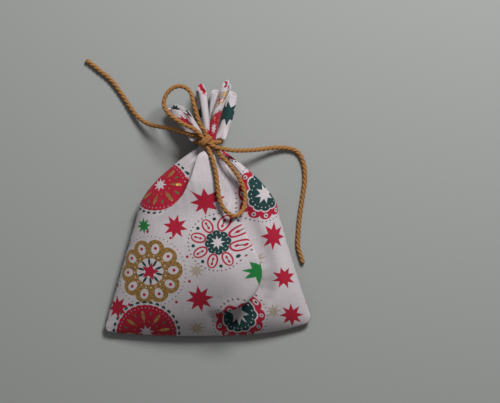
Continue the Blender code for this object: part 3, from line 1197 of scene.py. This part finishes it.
def new_group(name, inputs, outputs):
    """An empty node group with named sockets, its wiring, and its two ends."""
    tree = bpy.data.node_groups.new(name, "ShaderNodeTree")
    for label, kind, value in inputs:
        socket = tree.interface.new_socket(label, in_out="INPUT", socket_type="NodeSocket" + kind)
        if value is not None:
            socket.default_value = value
    for label, kind in outputs:
        tree.interface.new_socket(label, in_out="OUTPUT", socket_type="NodeSocket" + kind)
    wiring = Wiring(tree)
    entry = wiring.place(tree.nodes.new("NodeGroupInput"))
    leave = tree.nodes.new("NodeGroupOutput")
    leave.location = (2600, 0)
    return tree, wiring, entry.outputs, leave.inputs


# The print repeats over the cloth at this width and height
REPEAT = (0.132, 0.200)
POLAR = [("Distance", "Float", 0.0), ("Angle", "Float", 0.0)]
MASK = [("Mask", "Float")]
PRINT_OUTPUTS = [("Colour", "Color"), ("Gold", "Float")]
PLACE_INPUTS = [
    ("Cloth Point", "Vector", None),
    ("Centre", "Vector", None),
    ("Size", "Float", 0.01),
    ("Turn", "Float", 0.0),
]


def floats(**values):
    """Number sockets with their starting values."""
    return [(name, "Float", value) for name, value in values.items()]


def place_group():
    """Where a point lies in a motif that repeats over the cloth: its distance in sizes and its angle."""
    outputs = [("Distance", "Float"), ("Angle", "Float")]
    tree, w, given, out = new_group("Motif Place", PLACE_INPUTS, outputs)
    offset = w.vector("SUBTRACT", given["Cloth Point"], given["Centre"])
    half = (REPEAT[0] / 2, REPEAT[1] / 2, 1.0)
    offset = w.vector("WRAP", offset, half, tuple(-value for value in half))
    flat = w.vector("MULTIPLY", offset, (1.0, 1.0, 0.0))
    w.feed(out["Distance"], w.math("DIVIDE", w.vector("LENGTH", flat, output=1), given["Size"]))
    parts = w.parts(flat)
    w.feed(out["Angle"], w.math("SUBTRACT", w.math("ARCTAN2", parts[1], parts[0]), given["Turn"]))
    return tree


def in_sector(w, given, distance):
    """How far a point lies along and across its sector's middle line, and half the sector's angle."""
    sector = w.math("DIVIDE", math.pi, given["Count"])
    angle = w.math("SUBTRACT", given["Angle"], given["Turn"])
    folded = w.math("WRAP", angle, sector, w.math("MULTIPLY", sector, -1.0))
    along = w.math("MULTIPLY", distance, w.math("COSINE", folded))
    across = w.math("MULTIPLY", distance, w.math("SINE", folded))
    return along, across, sector


def star_group():
    """A straight-sided star."""
    inputs = POLAR + floats(Count=8.0, Outer=1.0, Waist=0.5, Turn=0.0)
    tree, w, given, out = new_group("Star Mask", inputs, MASK)
    along, across, sector = in_sector(w, given, w.math("DIVIDE", given["Distance"], given["Outer"]))
    across = w.math("ABSOLUTE", across)
    waist_along = w.math("MULTIPLY", given["Waist"], w.math("COSINE", sector))
    waist_across = w.math("MULTIPLY", given["Waist"], w.math("SINE", sector))
    inner = w.math("MULTIPLY", waist_across, w.math("SUBTRACT", 1.0, along))
    outer = w.math("MULTIPLY", w.math("SUBTRACT", 1.0, waist_along), across)
    w.feed(out["Mask"], w.step(w.math("SUBTRACT", inner, outer), *STAR_EDGE))
    return tree


def scallop_group():
    """A disc with a scalloped edge."""
    inputs = POLAR + floats(Count=8.0, Inner=0.8, Outer=1.0, Turn=0.0)
    tree, w, given, out = new_group("Scallop Mask", inputs, MASK)
    angle = w.math("SUBTRACT", given["Angle"], given["Turn"])
    turned = w.math("MULTIPLY", angle, w.math("MULTIPLY", given["Count"], 0.5))
    wave = w.math("POWER", w.math("ABSOLUTE", w.math("COSINE", turned)), SCALLOP_POWER)
    depth = w.math("SUBTRACT", given["Outer"], given["Inner"])
    edge = w.math("MULTIPLY_ADD", depth, wave, given["Inner"])
    w.feed(out["Mask"], w.step(w.math("SUBTRACT", edge, given["Distance"]), *SCALLOP_EDGE))
    return tree


def leaf_group():
    """A ring of dots or leaves."""
    inputs = POLAR + floats(Count=8.0, Ring=0.8, Length=0.1, Width=0.1, Turn=0.0)
    tree, w, given, out = new_group("Leaf Ring Mask", inputs, MASK)
    along, across = in_sector(w, given, given["Distance"])[:2]
    long_way = w.math("DIVIDE", w.math("SUBTRACT", along, given["Ring"]), given["Length"])
    wide_way = w.math("DIVIDE", across, given["Width"])
    squares = w.math("ADD", w.math("POWER", long_way, 2.0), w.math("POWER", wide_way, 2.0))
    w.feed(out["Mask"], w.step(squares, *DOT_EDGE))
    return tree


def motif_group(name, layers, masks, inks):
    """A motif as layers of ink on the cloth: each one a mask, its values and its ink."""
    inputs = [("Under", "Color", None), ("Gold Under", "Float", 0.0), *PLACE_INPUTS]
    tree, w, given, out = new_group(name, inputs, PRINT_OUTPUTS)
    polar = w.group(masks["place"], {row[0]: given[row[0]] for row in PLACE_INPUTS}, None)
    colour = given["Under"]
    gold = given["Gold Under"]
    for kind, values, ink in layers:
        mask = w.group(masks[kind], {"Distance": polar[0], "Angle": polar[1], **values})
        colour = w.mix(mask, colour, inks[ink])
        if ink == "gold":
            gold = w.math("MAXIMUM", gold, mask)
        else:
            gold = w.math("MULTIPLY", gold, w.math("SUBTRACT", 1.0, mask))
    w.feed(out["Colour"], colour)
    w.feed(out["Gold"], gold)
    return tree


def leaves(count, ring, length, width, ink, turn=0.0):
    """A layer of dots or leaves."""
    values = {"Count": float(count), "Ring": ring, "Length": length, "Width": width, "Turn": turn}
    return ("leaf", values, ink)


def disc(count, inner, outer, ink, turn=0.0):
    """A layer with a scalloped edge."""
    return ("scallop", {"Count": float(count), "Inner": inner, "Outer": outer, "Turn": turn}, ink)


def star(count, outer, waist, ink, turn=0.0):
    """A layer with a star."""
    return ("star", {"Count": float(count), "Outer": outer, "Waist": waist, "Turn": turn}, ink)


MOTIFS = {
    "crimson_star": [star(8, 1.0, 0.50, "crimson")],
    "leaf_star": [star(8, 1.0, 0.48, "leaf")],
    "stone_star": [star(8, 1.0, 0.42, "stone")],
    "pine_star": [star(8, 1.0, 0.52, "pine")],
    "gold_wheel": [
        leaves(52, 1.0, 0.017, 0.017, "twig"),
        disc(10, 0.78, 0.92, "gold"),
        leaves(10, 0.66, 0.15, 0.115, "ground"),
        leaves(10, 0.68, 0.045, 0.045, "crimson"),
        leaves(20, 0.46, 0.02, 0.02, "ground"),
        disc(10, 0.33, 0.39, "ground"),
        leaves(10, 0.27, 0.10, 0.035, "pine", math.pi / 10),
        star(5, 0.27, 0.46, "crimson"),
        leaves(10, 1.13, 0.04, 0.04, "crimson", math.pi / 10),
    ],
    "pine_rosette": [
        leaves(44, 1.0, 0.024, 0.024, "twig"),
        disc(11, 0.80, 0.93, "crimson"),
        leaves(11, 0.80, 0.075, 0.075, "ground"),
        leaves(11, 0.80, 0.035, 0.035, "pine"),
        disc(11, 0.60, 0.68, "ground"),
        disc(11, 0.55, 0.63, "pine"),
        leaves(22, 0.50, 0.02, 0.02, "ground"),
        star(8, 0.38, 0.48, "ground"),
    ],
    "snow_wheel": [
        leaves(44, 1.0, 0.027, 0.027, "twig"),
        leaves(8, 0.67, 0.27, 0.185, "crimson", math.pi / 8),
        leaves(8, 0.68, 0.215, 0.125, "ground", math.pi / 8),
        leaves(8, 0.68, 0.16, 0.020, "twig", math.pi / 8),
        leaves(8, 0.60, 0.045, 0.045, "crimson", math.pi / 8),
        leaves(8, 0.78, 0.045, 0.045, "crimson", math.pi / 8),
        leaves(8, 0.84, 0.060, 0.060, "pine"),
        disc(8, 0.36, 0.44, "pine"),
        leaves(16, 0.34, 0.018, 0.018, "ground"),
        star(8, 0.26, 0.46, "ground"),
    ],
    "crimson_field": [
        leaves(30, 0.955, 0.05, 0.06, "pine"),
        disc(30, 0.90, 0.93, "ground"),
        disc(30, 0.86, 0.89, "crimson"),
        leaves(44, 0.79, 0.013, 0.013, "ground"),
        leaves(8, 0.55, 0.15, 0.05, "gold"),
        leaves(8, 0.62, 0.06, 0.025, "leaf", math.pi / 8),
        leaves(16, 0.36, 0.02, 0.02, "gold"),
        star(8, 0.24, 0.46, "ground"),
    ],
}

# The print's layout in one repeat: motif, place from the front's middle line and bottom edge,
# size, all in millimetres, and turn in degrees
LAYOUT = [
    ("snow_wheel", 6.0, 62.0, 18.0, 8.0),
    ("gold_wheel", -36.0, 43.0, 22.5, 5.0),
    ("crimson_field", -38.0, 99.0, 19.0, 3.0),
    ("pine_rosette", 41.0, 95.0, 18.5, 12.0),
    ("crimson_field", -38.0, 3.0, 21.0, 10.0),
    ("pine_rosette", 22.0, 10.0, 19.0, 0.0),
    ("crimson_star", -2.0, 88.0, 8.8, 5.0),
    ("crimson_star", -20.0, 72.0, 8.0, -12.0),
    ("crimson_star", -5.0, 26.0, 8.8, 9.0),
    ("crimson_star", 54.0, 37.0, 8.6, 15.0),
    ("crimson_star", 47.0, 67.0, 9.0, -6.0),
    ("crimson_star", -57.0, 19.0, 7.6, 10.0),
    ("crimson_star", 57.0, 10.0, 8.2, 0.0),
    ("crimson_star", -56.0, 72.0, 7.4, -9.0),
    ("crimson_star", 61.0, 112.0, 7.0, 4.0),
    ("leaf_star", 27.0, 43.0, 6.8, -8.0),
    ("leaf_star", -41.0, 72.0, 5.4, 8.0),
    ("leaf_star", 60.0, 92.0, 6.4, 3.0),
    ("stone_star", 22.0, 78.0, 5.6, 0.0),
    ("stone_star", -7.0, 6.0, 5.8, 11.0),
    ("stone_star", -7.0, 44.0, 5.4, 6.0),
    ("stone_star", 38.0, 53.0, 5.6, 14.0),
    ("stone_star", 45.0, 13.0, 5.4, 4.0),
    ("stone_star", -62.0, 58.0, 5.4, 9.0),
    ("crimson_star", -31.0, 149.0, 5.8, 6.0),
    ("pine_star", -54.0, 160.5, 3.4, 0.0),
    ("pine_star", -44.0, 161.0, 3.8, 0.0),
    ("pine_star", -59.0, 144.0, 4.6, 10.0),
    ("crimson_star", -10.0, 131.5, 5.0, 14.0),
    ("crimson_star", -17.0, 167.0, 15.0, 0.0),
    ("crimson_star", -27.0, 169.0, 16.0, 7.0),
    ("stone_star", 39.0, 144.0, 4.0, 8.0),
    ("crimson_field", 25.0, 128.0, 13.0, 0.0),
    ("gold_wheel", 18.0, 149.5, 7.5, 0.0),
    ("crimson_star", 12.5, 162.0, 6.0, 0.0),
    ("pine_star", 56.0, 146.0, 8.2, 12.0),
]


def print_group(inks):
    """The whole print on the cloth: its colour, and where the ink is metallic."""
    masks = {
        "place": place_group(),
        "star": star_group(),
        "scallop": scallop_group(),
        "leaf": leaf_group(),
    }
    tree, w, given, out = new_group("Folk Print", [("Cloth Point", "Vector", None)], PRINT_OUTPUTS)
    motifs = {}
    for name, layers in MOTIFS.items():
        motifs[name] = motif_group(name.replace("_", " ").title(), layers, masks, inks)
    colour = inks["ground"]
    gold = 0.0
    for name, across, up, size, turn in LAYOUT:
        inputs = {
            "Under": colour,
            "Gold Under": gold,
            "Cloth Point": given["Cloth Point"],
            "Centre": (across / 1000, up / 1000, 0.0),
            "Size": size / 1000,
            "Turn": math.radians(turn),
        }
        colour, gold = w.group(motifs[name], inputs, None)[:2]
    w.feed(out["Colour"], colour)
    w.feed(out["Gold"], gold)
    return tree


def weave_group():
    """A plain weave with uneven threads: its height, and its painted shade, darker at the low points of
    the crossings and lighter on their tops, with the uneven tone of the slubs.
    """
    inputs = [("Cloth Point", "Vector", None), ("Pitch", "Float", 0.0008)]
    tree, w, given, out = new_group("Plain Weave", inputs, [("Height", "Float"), ("Shade", "Float")])
    waves = []
    for part in w.parts(given["Cloth Point"])[:2]:
        turns = w.math("DIVIDE", part, given["Pitch"])
        waves.append(w.math("SINE", w.math("MULTIPLY", turns, math.tau)))
    crossing = w.math("MULTIPLY", waves[0], waves[1])
    warp = w.noise(given["Cloth Point"], (SLUB_RATES[0], SLUB_RATES[1], 1.0))
    weft = w.noise(given["Cloth Point"], (SLUB_RATES[1], SLUB_RATES[0], 1.0))
    slubs = w.math("ADD", warp, weft)
    height = w.math("MULTIPLY", crossing, CROSSING_HEIGHT)
    w.feed(out["Height"], w.math("MULTIPLY_ADD", slubs, SLUB_HEIGHT, height))
    shade = w.math("MULTIPLY_ADD", crossing, CROSSING_SHADE, -SLUB_SHADE)
    w.feed(out["Shade"], w.math("MULTIPLY_ADD", slubs, SLUB_SHADE, shade))
    return tree


def new_material(name):
    """A material with its wiring and its shader."""
    surface = bpy.data.materials.new(name)
    surface.use_nodes = True
    surface.node_tree.nodes.clear()
    wiring = Wiring(surface.node_tree)
    shader = surface.node_tree.nodes.new("ShaderNodeBsdfPrincipled")
    shader.location = (2200, 0)
    leave = surface.node_tree.nodes.new("ShaderNodeOutputMaterial")
    leave.location = (2500, 0)
    surface.node_tree.links.new(shader.outputs[0], leave.inputs[0])
    return surface, wiring, shader.inputs


def set_surface(shader, specular, sheen, sheen_roughness):
    """The dull shine of fibres."""
    shader["Specular IOR Level"].default_value = specular
    shader["Sheen Weight"].default_value = sheen
    shader["Sheen Roughness"].default_value = sheen_roughness


def turned_hem(w, point, folk_print, ground):
    """The wrong side's print and gold: faint through the cloth, and full on the turned-in hem."""
    hem = w.step(w.parts(point)[1], HEM_START, HEM_START + HEM_SOFTNESS)
    turned_in = w.vector("MULTIPLY_ADD", point, (1.0, -1.0, 1.0), (0.0, 2 * CUT_LENGTH, 0.0))
    place = w.add("ShaderNodeMix", {0: hem, 4: point, 5: turned_in}, 1, data_type="VECTOR")
    printed = w.group(folk_print, {"Cloth Point": place}, None)
    faintness = w.math("MULTIPLY_ADD", hem, -WRONG_SIDE_FAINTNESS, WRONG_SIDE_FAINTNESS)
    return w.mix(faintness, printed[0], ground), printed[1]


def cotton_material(name, settings, inks, groups, is_printed):
    """One side of the cotton: its print, its threads, and gold ink with painted glints."""
    folk_print, weave = groups
    surface, w, shader = new_material(name)
    point = w.add("ShaderNodeUVMap", {}, uv_map="Print")
    if is_printed:
        colour, gold = w.group(folk_print, {"Cloth Point": point}, None)[:2]
        w.feed(shader["Metallic"], w.math("MULTIPLY", gold, GOLD_METALLIC))
        w.feed(shader["Roughness"], w.math("MULTIPLY_ADD", gold, -GOLD_GLOSS, PRINTED_ROUGHNESS))
    else:
        colour, gold = turned_hem(w, point, folk_print, inks["ground"])
        shader["Roughness"].default_value = WRONG_SIDE_ROUGHNESS
    threads = w.group(weave, {"Cloth Point": point, "Pitch": settings.thread_pitch}, None)
    patches = w.add("ShaderNodeTexNoise", {"Vector": point, "Scale": PATCH_SCALE, "Detail": 3.0})
    light = w.math("MULTIPLY_ADD", patches, PATCH_STRENGTH, 1 - PATCH_STRENGTH / 2)
    # Painted shade and light of the weave's crossings, with the slubs' uneven tone
    light = w.math("MULTIPLY_ADD", threads[1], WEAVE_TONE_AND_SHADE_STRENGTH, light)
    # Painted glints on the gold ink, in fine flecks of lighter and darker colour
    glint_noise = w.add("ShaderNodeTexNoise", {"Vector": point, "Scale": PAINTED_GLINT_SCALE, "Detail": 2.0})
    painted_glints = w.math("MULTIPLY", gold, w.math("SUBTRACT", glint_noise, 0.5))
    light = w.math("MULTIPLY_ADD", painted_glints, PAINTED_GLINT_STRENGTH, light)
    shade = w.add("ShaderNodeCombineXYZ", {0: light, 1: light, 2: light})
    w.feed(shader["Base Color"], w.mix(1.0, colour, shade, "MULTIPLY"))
    set_surface(shader, 0.25, 0.08, 0.5)
    bump = w.add("ShaderNodeBump", {"Height": threads[0], "Strength": 0.6, "Distance": WEAVE_DEPTH})
    w.feed(shader["Normal"], bump)
    return surface


def cotton_materials(settings):
    """The printed side of the cotton, and its paler wrong side, which shows at the open folds."""
    inks = {}
    for name in ("ground", "crimson", "pine", "leaf", "stone", "gold", "twig"):
        inks[name] = (*getattr(settings, name), 1.0)
    groups = (print_group(inks), weave_group())
    printed = cotton_material("printed_cotton", settings, inks, groups, True)
    return printed, cotton_material("cotton_wrong_side", settings, inks, groups, False)


def twine_material(settings):
    """Brown twine in its own colour on the crown of each ply, with painted shade in the grooves between
    them, and fine fibres along them.
    """
    surface, w, shader = new_material("brown_twine")
    place = w.add("ShaderNodeUVMap", {}, uv_map="Twist")
    from_crown = w.math("ABSOLUTE", w.math("WRAP", w.parts(place)[0], 0.5, -0.5))
    # Painted shade: the grooves between the plies are mixed towards the painted groove shade colour
    painted_shade_mask = w.step(from_crown, GROOVE_START, 0.5)
    fibres = w.noise(place, FIBRE_RATES, Detail=4.0)
    tufts = w.noise(place, TUFT_RATES)
    light = (*settings.light_fibre, 1.0)
    dark = (*settings.painted_groove_shade, 1.0)
    depth = w.math("MULTIPLY", painted_shade_mask, GROOVE_SHADE)
    depth = w.math("MULTIPLY_ADD", w.step(fibres, 0.62, 0.36), FIBRE_SHADE, depth)
    depth = w.math("ADD", depth, w.step(tufts, 0.6, 0.3, 0.0, TUFT_SHADE))
    w.feed(shader["Base Color"], w.mix(w.math("MINIMUM", depth, 1.0), light, dark))
    shader["Roughness"].default_value = TWINE_ROUGHNESS
    set_surface(shader, 0.2, 0.25, 0.4)
    bump = w.add("ShaderNodeBump", {"Height": fibres, "Strength": 0.6, "Distance": FIBRE_DEPTH})
    w.feed(shader["Normal"], bump)
    return surface


def shared_material(name, build):
    """The material of that name, built once."""
    return bpy.data.materials.get(name) or build()


def neck_turn_route():
    """The cord's turn round the neck, from one side of the knot under the cloth to the other."""
    clear = CORD_DIAMETER / 2 + CORD_CLEARANCE
    reach_x = NECK_WIDTH / 2 + clear
    reach_z = NECK_THICKNESS / 2 + clear
    route = []
    for step in range(NECK_TURN_STEPS + 1):
        angle = blend(KNOT_SIDE, math.tau - KNOT_SIDE, step / NECK_TURN_STEPS)
        x = reach_x * math.sin(angle)
        z = NECK_LIFT + reach_z * math.cos(angle)
        route.append((x, NECK_Y, z))
    return route


def wrap_route():
    """The turns of twine that hold the knot's strands together."""
    along = Vector((math.cos(KNOT_TURN), math.sin(KNOT_TURN), 0.0))
    across = Vector((-along.y, along.x, 0.0))
    route = []
    for step in range(WRAP_STEPS + 1):
        share = step / WRAP_STEPS
        angle = math.tau * WRAP_TURNS * share + WRAP_START
        centre = Vector(KNOT_MIDDLE) + along * (WRAP_LEAN * (2 * share - 1))
        out = across * (WRAP_REACH[0] * math.sin(angle))
        route.append(centre + out + Vector((0.0, 0.0, WRAP_REACH[1] * math.cos(angle))))
    return route


class POUCH_OT_camera(bpy.types.Operator):
    """Sets the camera over the pouch, as the photograph shows it."""

    bl_idname = "pouch.camera"
    bl_label = "Set Camera"

    def execute(self, context):
        settings = context.scene.pouch_stage
        heading = Vector((0.0, -math.cos(settings.elevation), math.sin(settings.elevation)))
        data = bpy.data.cameras.new("camera")
        data.sensor_width = SENSOR_WIDTH
        data.lens = data.sensor_width * CAMERA_DISTANCE / settings.view_width
        data.clip_start = 0.01
        camera = bpy.data.objects.new("camera", data)
        camera.location = Vector(CAMERA_TARGET) + heading * CAMERA_DISTANCE
        camera.rotation_euler = (math.radians(90) - settings.elevation, 0.0, 0.0)
        context.scene.collection.objects.link(camera)
        context.scene.camera = camera
        return {"FINISHED"}


class POUCH_OT_cords(bpy.types.Operator):
    """Lays the twine: its two tails, the two loops of the bow and the turn round the neck."""

    bl_idname = "pouch.cords"
    bl_label = "Add Cords"

    def execute(self, context):
        settings = context.scene.pouch_cord
        twine = shared_material("brown_twine", lambda: twine_material(settings))
        cords = [
            ("left_tail", LEFT_TAIL, "bare", "loose"),
            ("right_tail", RIGHT_TAIL, "bare", "loose"),
            ("upper_loop", UPPER_LOOP, "object", "loose"),
            ("lower_loop", LOWER_LOOP, "object", "loose"),
            ("neck_cord", neck_turn_route(), "object", "taut"),
        ]
        for index, (node, route, far_end, lay) in enumerate(cords):
            centres = smooth_route(route, RING_SPACING)
            twist = (settings.diameter, settings.twist_length, index * CORD_PHASE)
            skin = twine_skin(centres, *twist, far_end == "bare")
            piece = piece_of("twine_" + node, skin, twine)
            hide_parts(node)
        return {"FINISHED"}


class POUCH_OT_knot(bpy.types.Operator):
    """Ties the bow's knot across the front of the neck."""

    bl_idname = "pouch.knot"
    bl_label = "Add Knot"

    def execute(self, context):
        settings = context.scene.pouch_cord
        twine = shared_material("brown_twine", lambda: twine_material(settings))
        skin = bmesh.new()
        skin.loops.layers.uv.new("Twist")
        for index, route in enumerate([*KNOT_STRANDS, wrap_route()]):
            centres = smooth_route(route, RING_SPACING)
            twist = (settings.diameter, settings.twist_length, index * STRAND_PHASE)
            join_skin(skin, twine_skin(centres, *twist))
        knot = piece_of("twine_knot", skin, twine)
        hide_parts("bow_knot")
        return {"FINISHED"}


class POUCH_OT_cloth(bpy.types.Operator):
    """Sews the pouch: its filled body, gathered neck and the frill above the tie."""

    bl_idname = "pouch.cloth"
    bl_label = "Add Cloth"

    def execute(self, context):
        settings = context.scene.pouch_cloth
        printed, wrong_side = cotton_materials(settings)
        skin = body_skin(settings.wrinkle_height)
        for fold in FRILL_FOLDS:
            join_skin(skin, frill_skin(fold))
        pouch = piece_of("cotton_pouch", skin, printed, wrong_side)
        wall = pouch.modifiers.new("Cloth wall", "SOLIDIFY")
        wall.thickness = settings.thickness
        wall.offset = -1.0
        wall.material_offset = 1
        wall.material_offset_rim = 0
        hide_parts("pouch")
        return {"FINISHED"}


class POUCH_OT_stage(bpy.types.Operator):
    """Lays the table and sets the soft lamp and the light of the room."""

    bl_idname = "pouch.stage"
    bl_label = "Add Stage"

    def execute(self, context):
        settings = context.scene.pouch_stage
        skin = bmesh.new()
        bmesh.ops.create_grid(skin, x_segments=1, y_segments=1, size=TABLE_SIZE)
        mesh = bpy.data.meshes.new("table")
        skin.to_mesh(mesh)
        skin.free()
        surface, w, shader = new_material("table_paper")
        place = w.add("ShaderNodeTexCoord", {}, 3)
        grain = w.add("ShaderNodeTexNoise", {"Vector": place, "Scale": GRAIN_SCALE, "Detail": 3.0})
        tone = (*settings.table, 1.0)
        darker = (*[value * GRAIN_DARKNESS for value in settings.table], 1.0)
        w.feed(shader["Base Color"], w.mix(grain, darker, tone))
        shader["Roughness"].default_value = TABLE_ROUGHNESS
        shader["Specular IOR Level"].default_value = 0.2
        mesh.materials.append(surface)
        table = bpy.data.objects.new("table", mesh)
        context.scene.collection.objects.link(table)
        lamp = bpy.data.lights.new("soft_lamp", "AREA")
        lamp.energy = settings.lamp_power
        lamp.shape = "DISK"
        lamp.size = LAMP_SIZE
        lamp_object = bpy.data.objects.new("soft_lamp", lamp)
        lamp_place = Vector(LAMP_PLACE)
        turn = lamp_place.to_track_quat("Z", "Y").to_matrix().to_4x4()
        lamp_object.matrix_world = Matrix.Translation(lamp_place) @ turn
        context.scene.collection.objects.link(lamp_object)
        world = bpy.data.worlds.new("room")
        world.use_nodes = True
        background = world.node_tree.nodes["Background"]
        background.inputs[0].default_value = (1.0, 1.0, 1.0, 1.0)
        background.inputs[1].default_value = settings.room_light
        context.scene.world = world
        context.scene.view_settings.view_transform = "Standard"
        return {"FINISHED"}


class POUCH_PT_panel(bpy.types.Panel):
    """Lists the pouch's settings and its pieces."""

    bl_label = "Drawstring Pouch"
    bl_idname = "POUCH_PT_panel"
    bl_space_type = "VIEW_3D"
    bl_region_type = "UI"
    bl_category = "Pouch"

    def draw(self, context):
        layout = self.layout
        for owner in GROUPS:
            settings = getattr(context.scene, owner)
            column = layout.column(align=True)
            for name in settings.bl_rna.properties.keys():
                if name not in ("rna_type", "name"):
                    column.prop(settings, name)
        for operator in OPERATORS:
            layout.operator(operator.bl_idname)


GROUPS = {
    "pouch_cloth": PouchClothSettings,
    "pouch_cord": PouchCordSettings,
    "pouch_stage": PouchStageSettings,
}
OPERATORS = (POUCH_OT_camera, POUCH_OT_cords, POUCH_OT_knot, POUCH_OT_cloth, POUCH_OT_stage)


def register():
    """Registers the settings, operators and panel."""
    for owner, group in GROUPS.items():
        bpy.utils.register_class(group)
        setattr(bpy.types.Scene, owner, bpy.props.PointerProperty(type=group))
    for operator in OPERATORS:
        bpy.utils.register_class(operator)
    bpy.utils.register_class(POUCH_PT_panel)


def unregister():
    """Removes the panel, operators and settings."""
    bpy.utils.unregister_class(POUCH_PT_panel)
    for operator in reversed(OPERATORS):
        bpy.utils.unregister_class(operator)
    for owner, group in GROUPS.items():
        delattr(bpy.types.Scene, owner)
        bpy.utils.unregister_class(group)


def main():
    """Builds the whole scene."""
    register()
    bpy.ops.pouch.camera()
    bpy.ops.pouch.cords()
    bpy.ops.pouch.knot()
    bpy.ops.pouch.cloth()
    bpy.ops.pouch.stage()


if __name__ == "__main__":
    main()
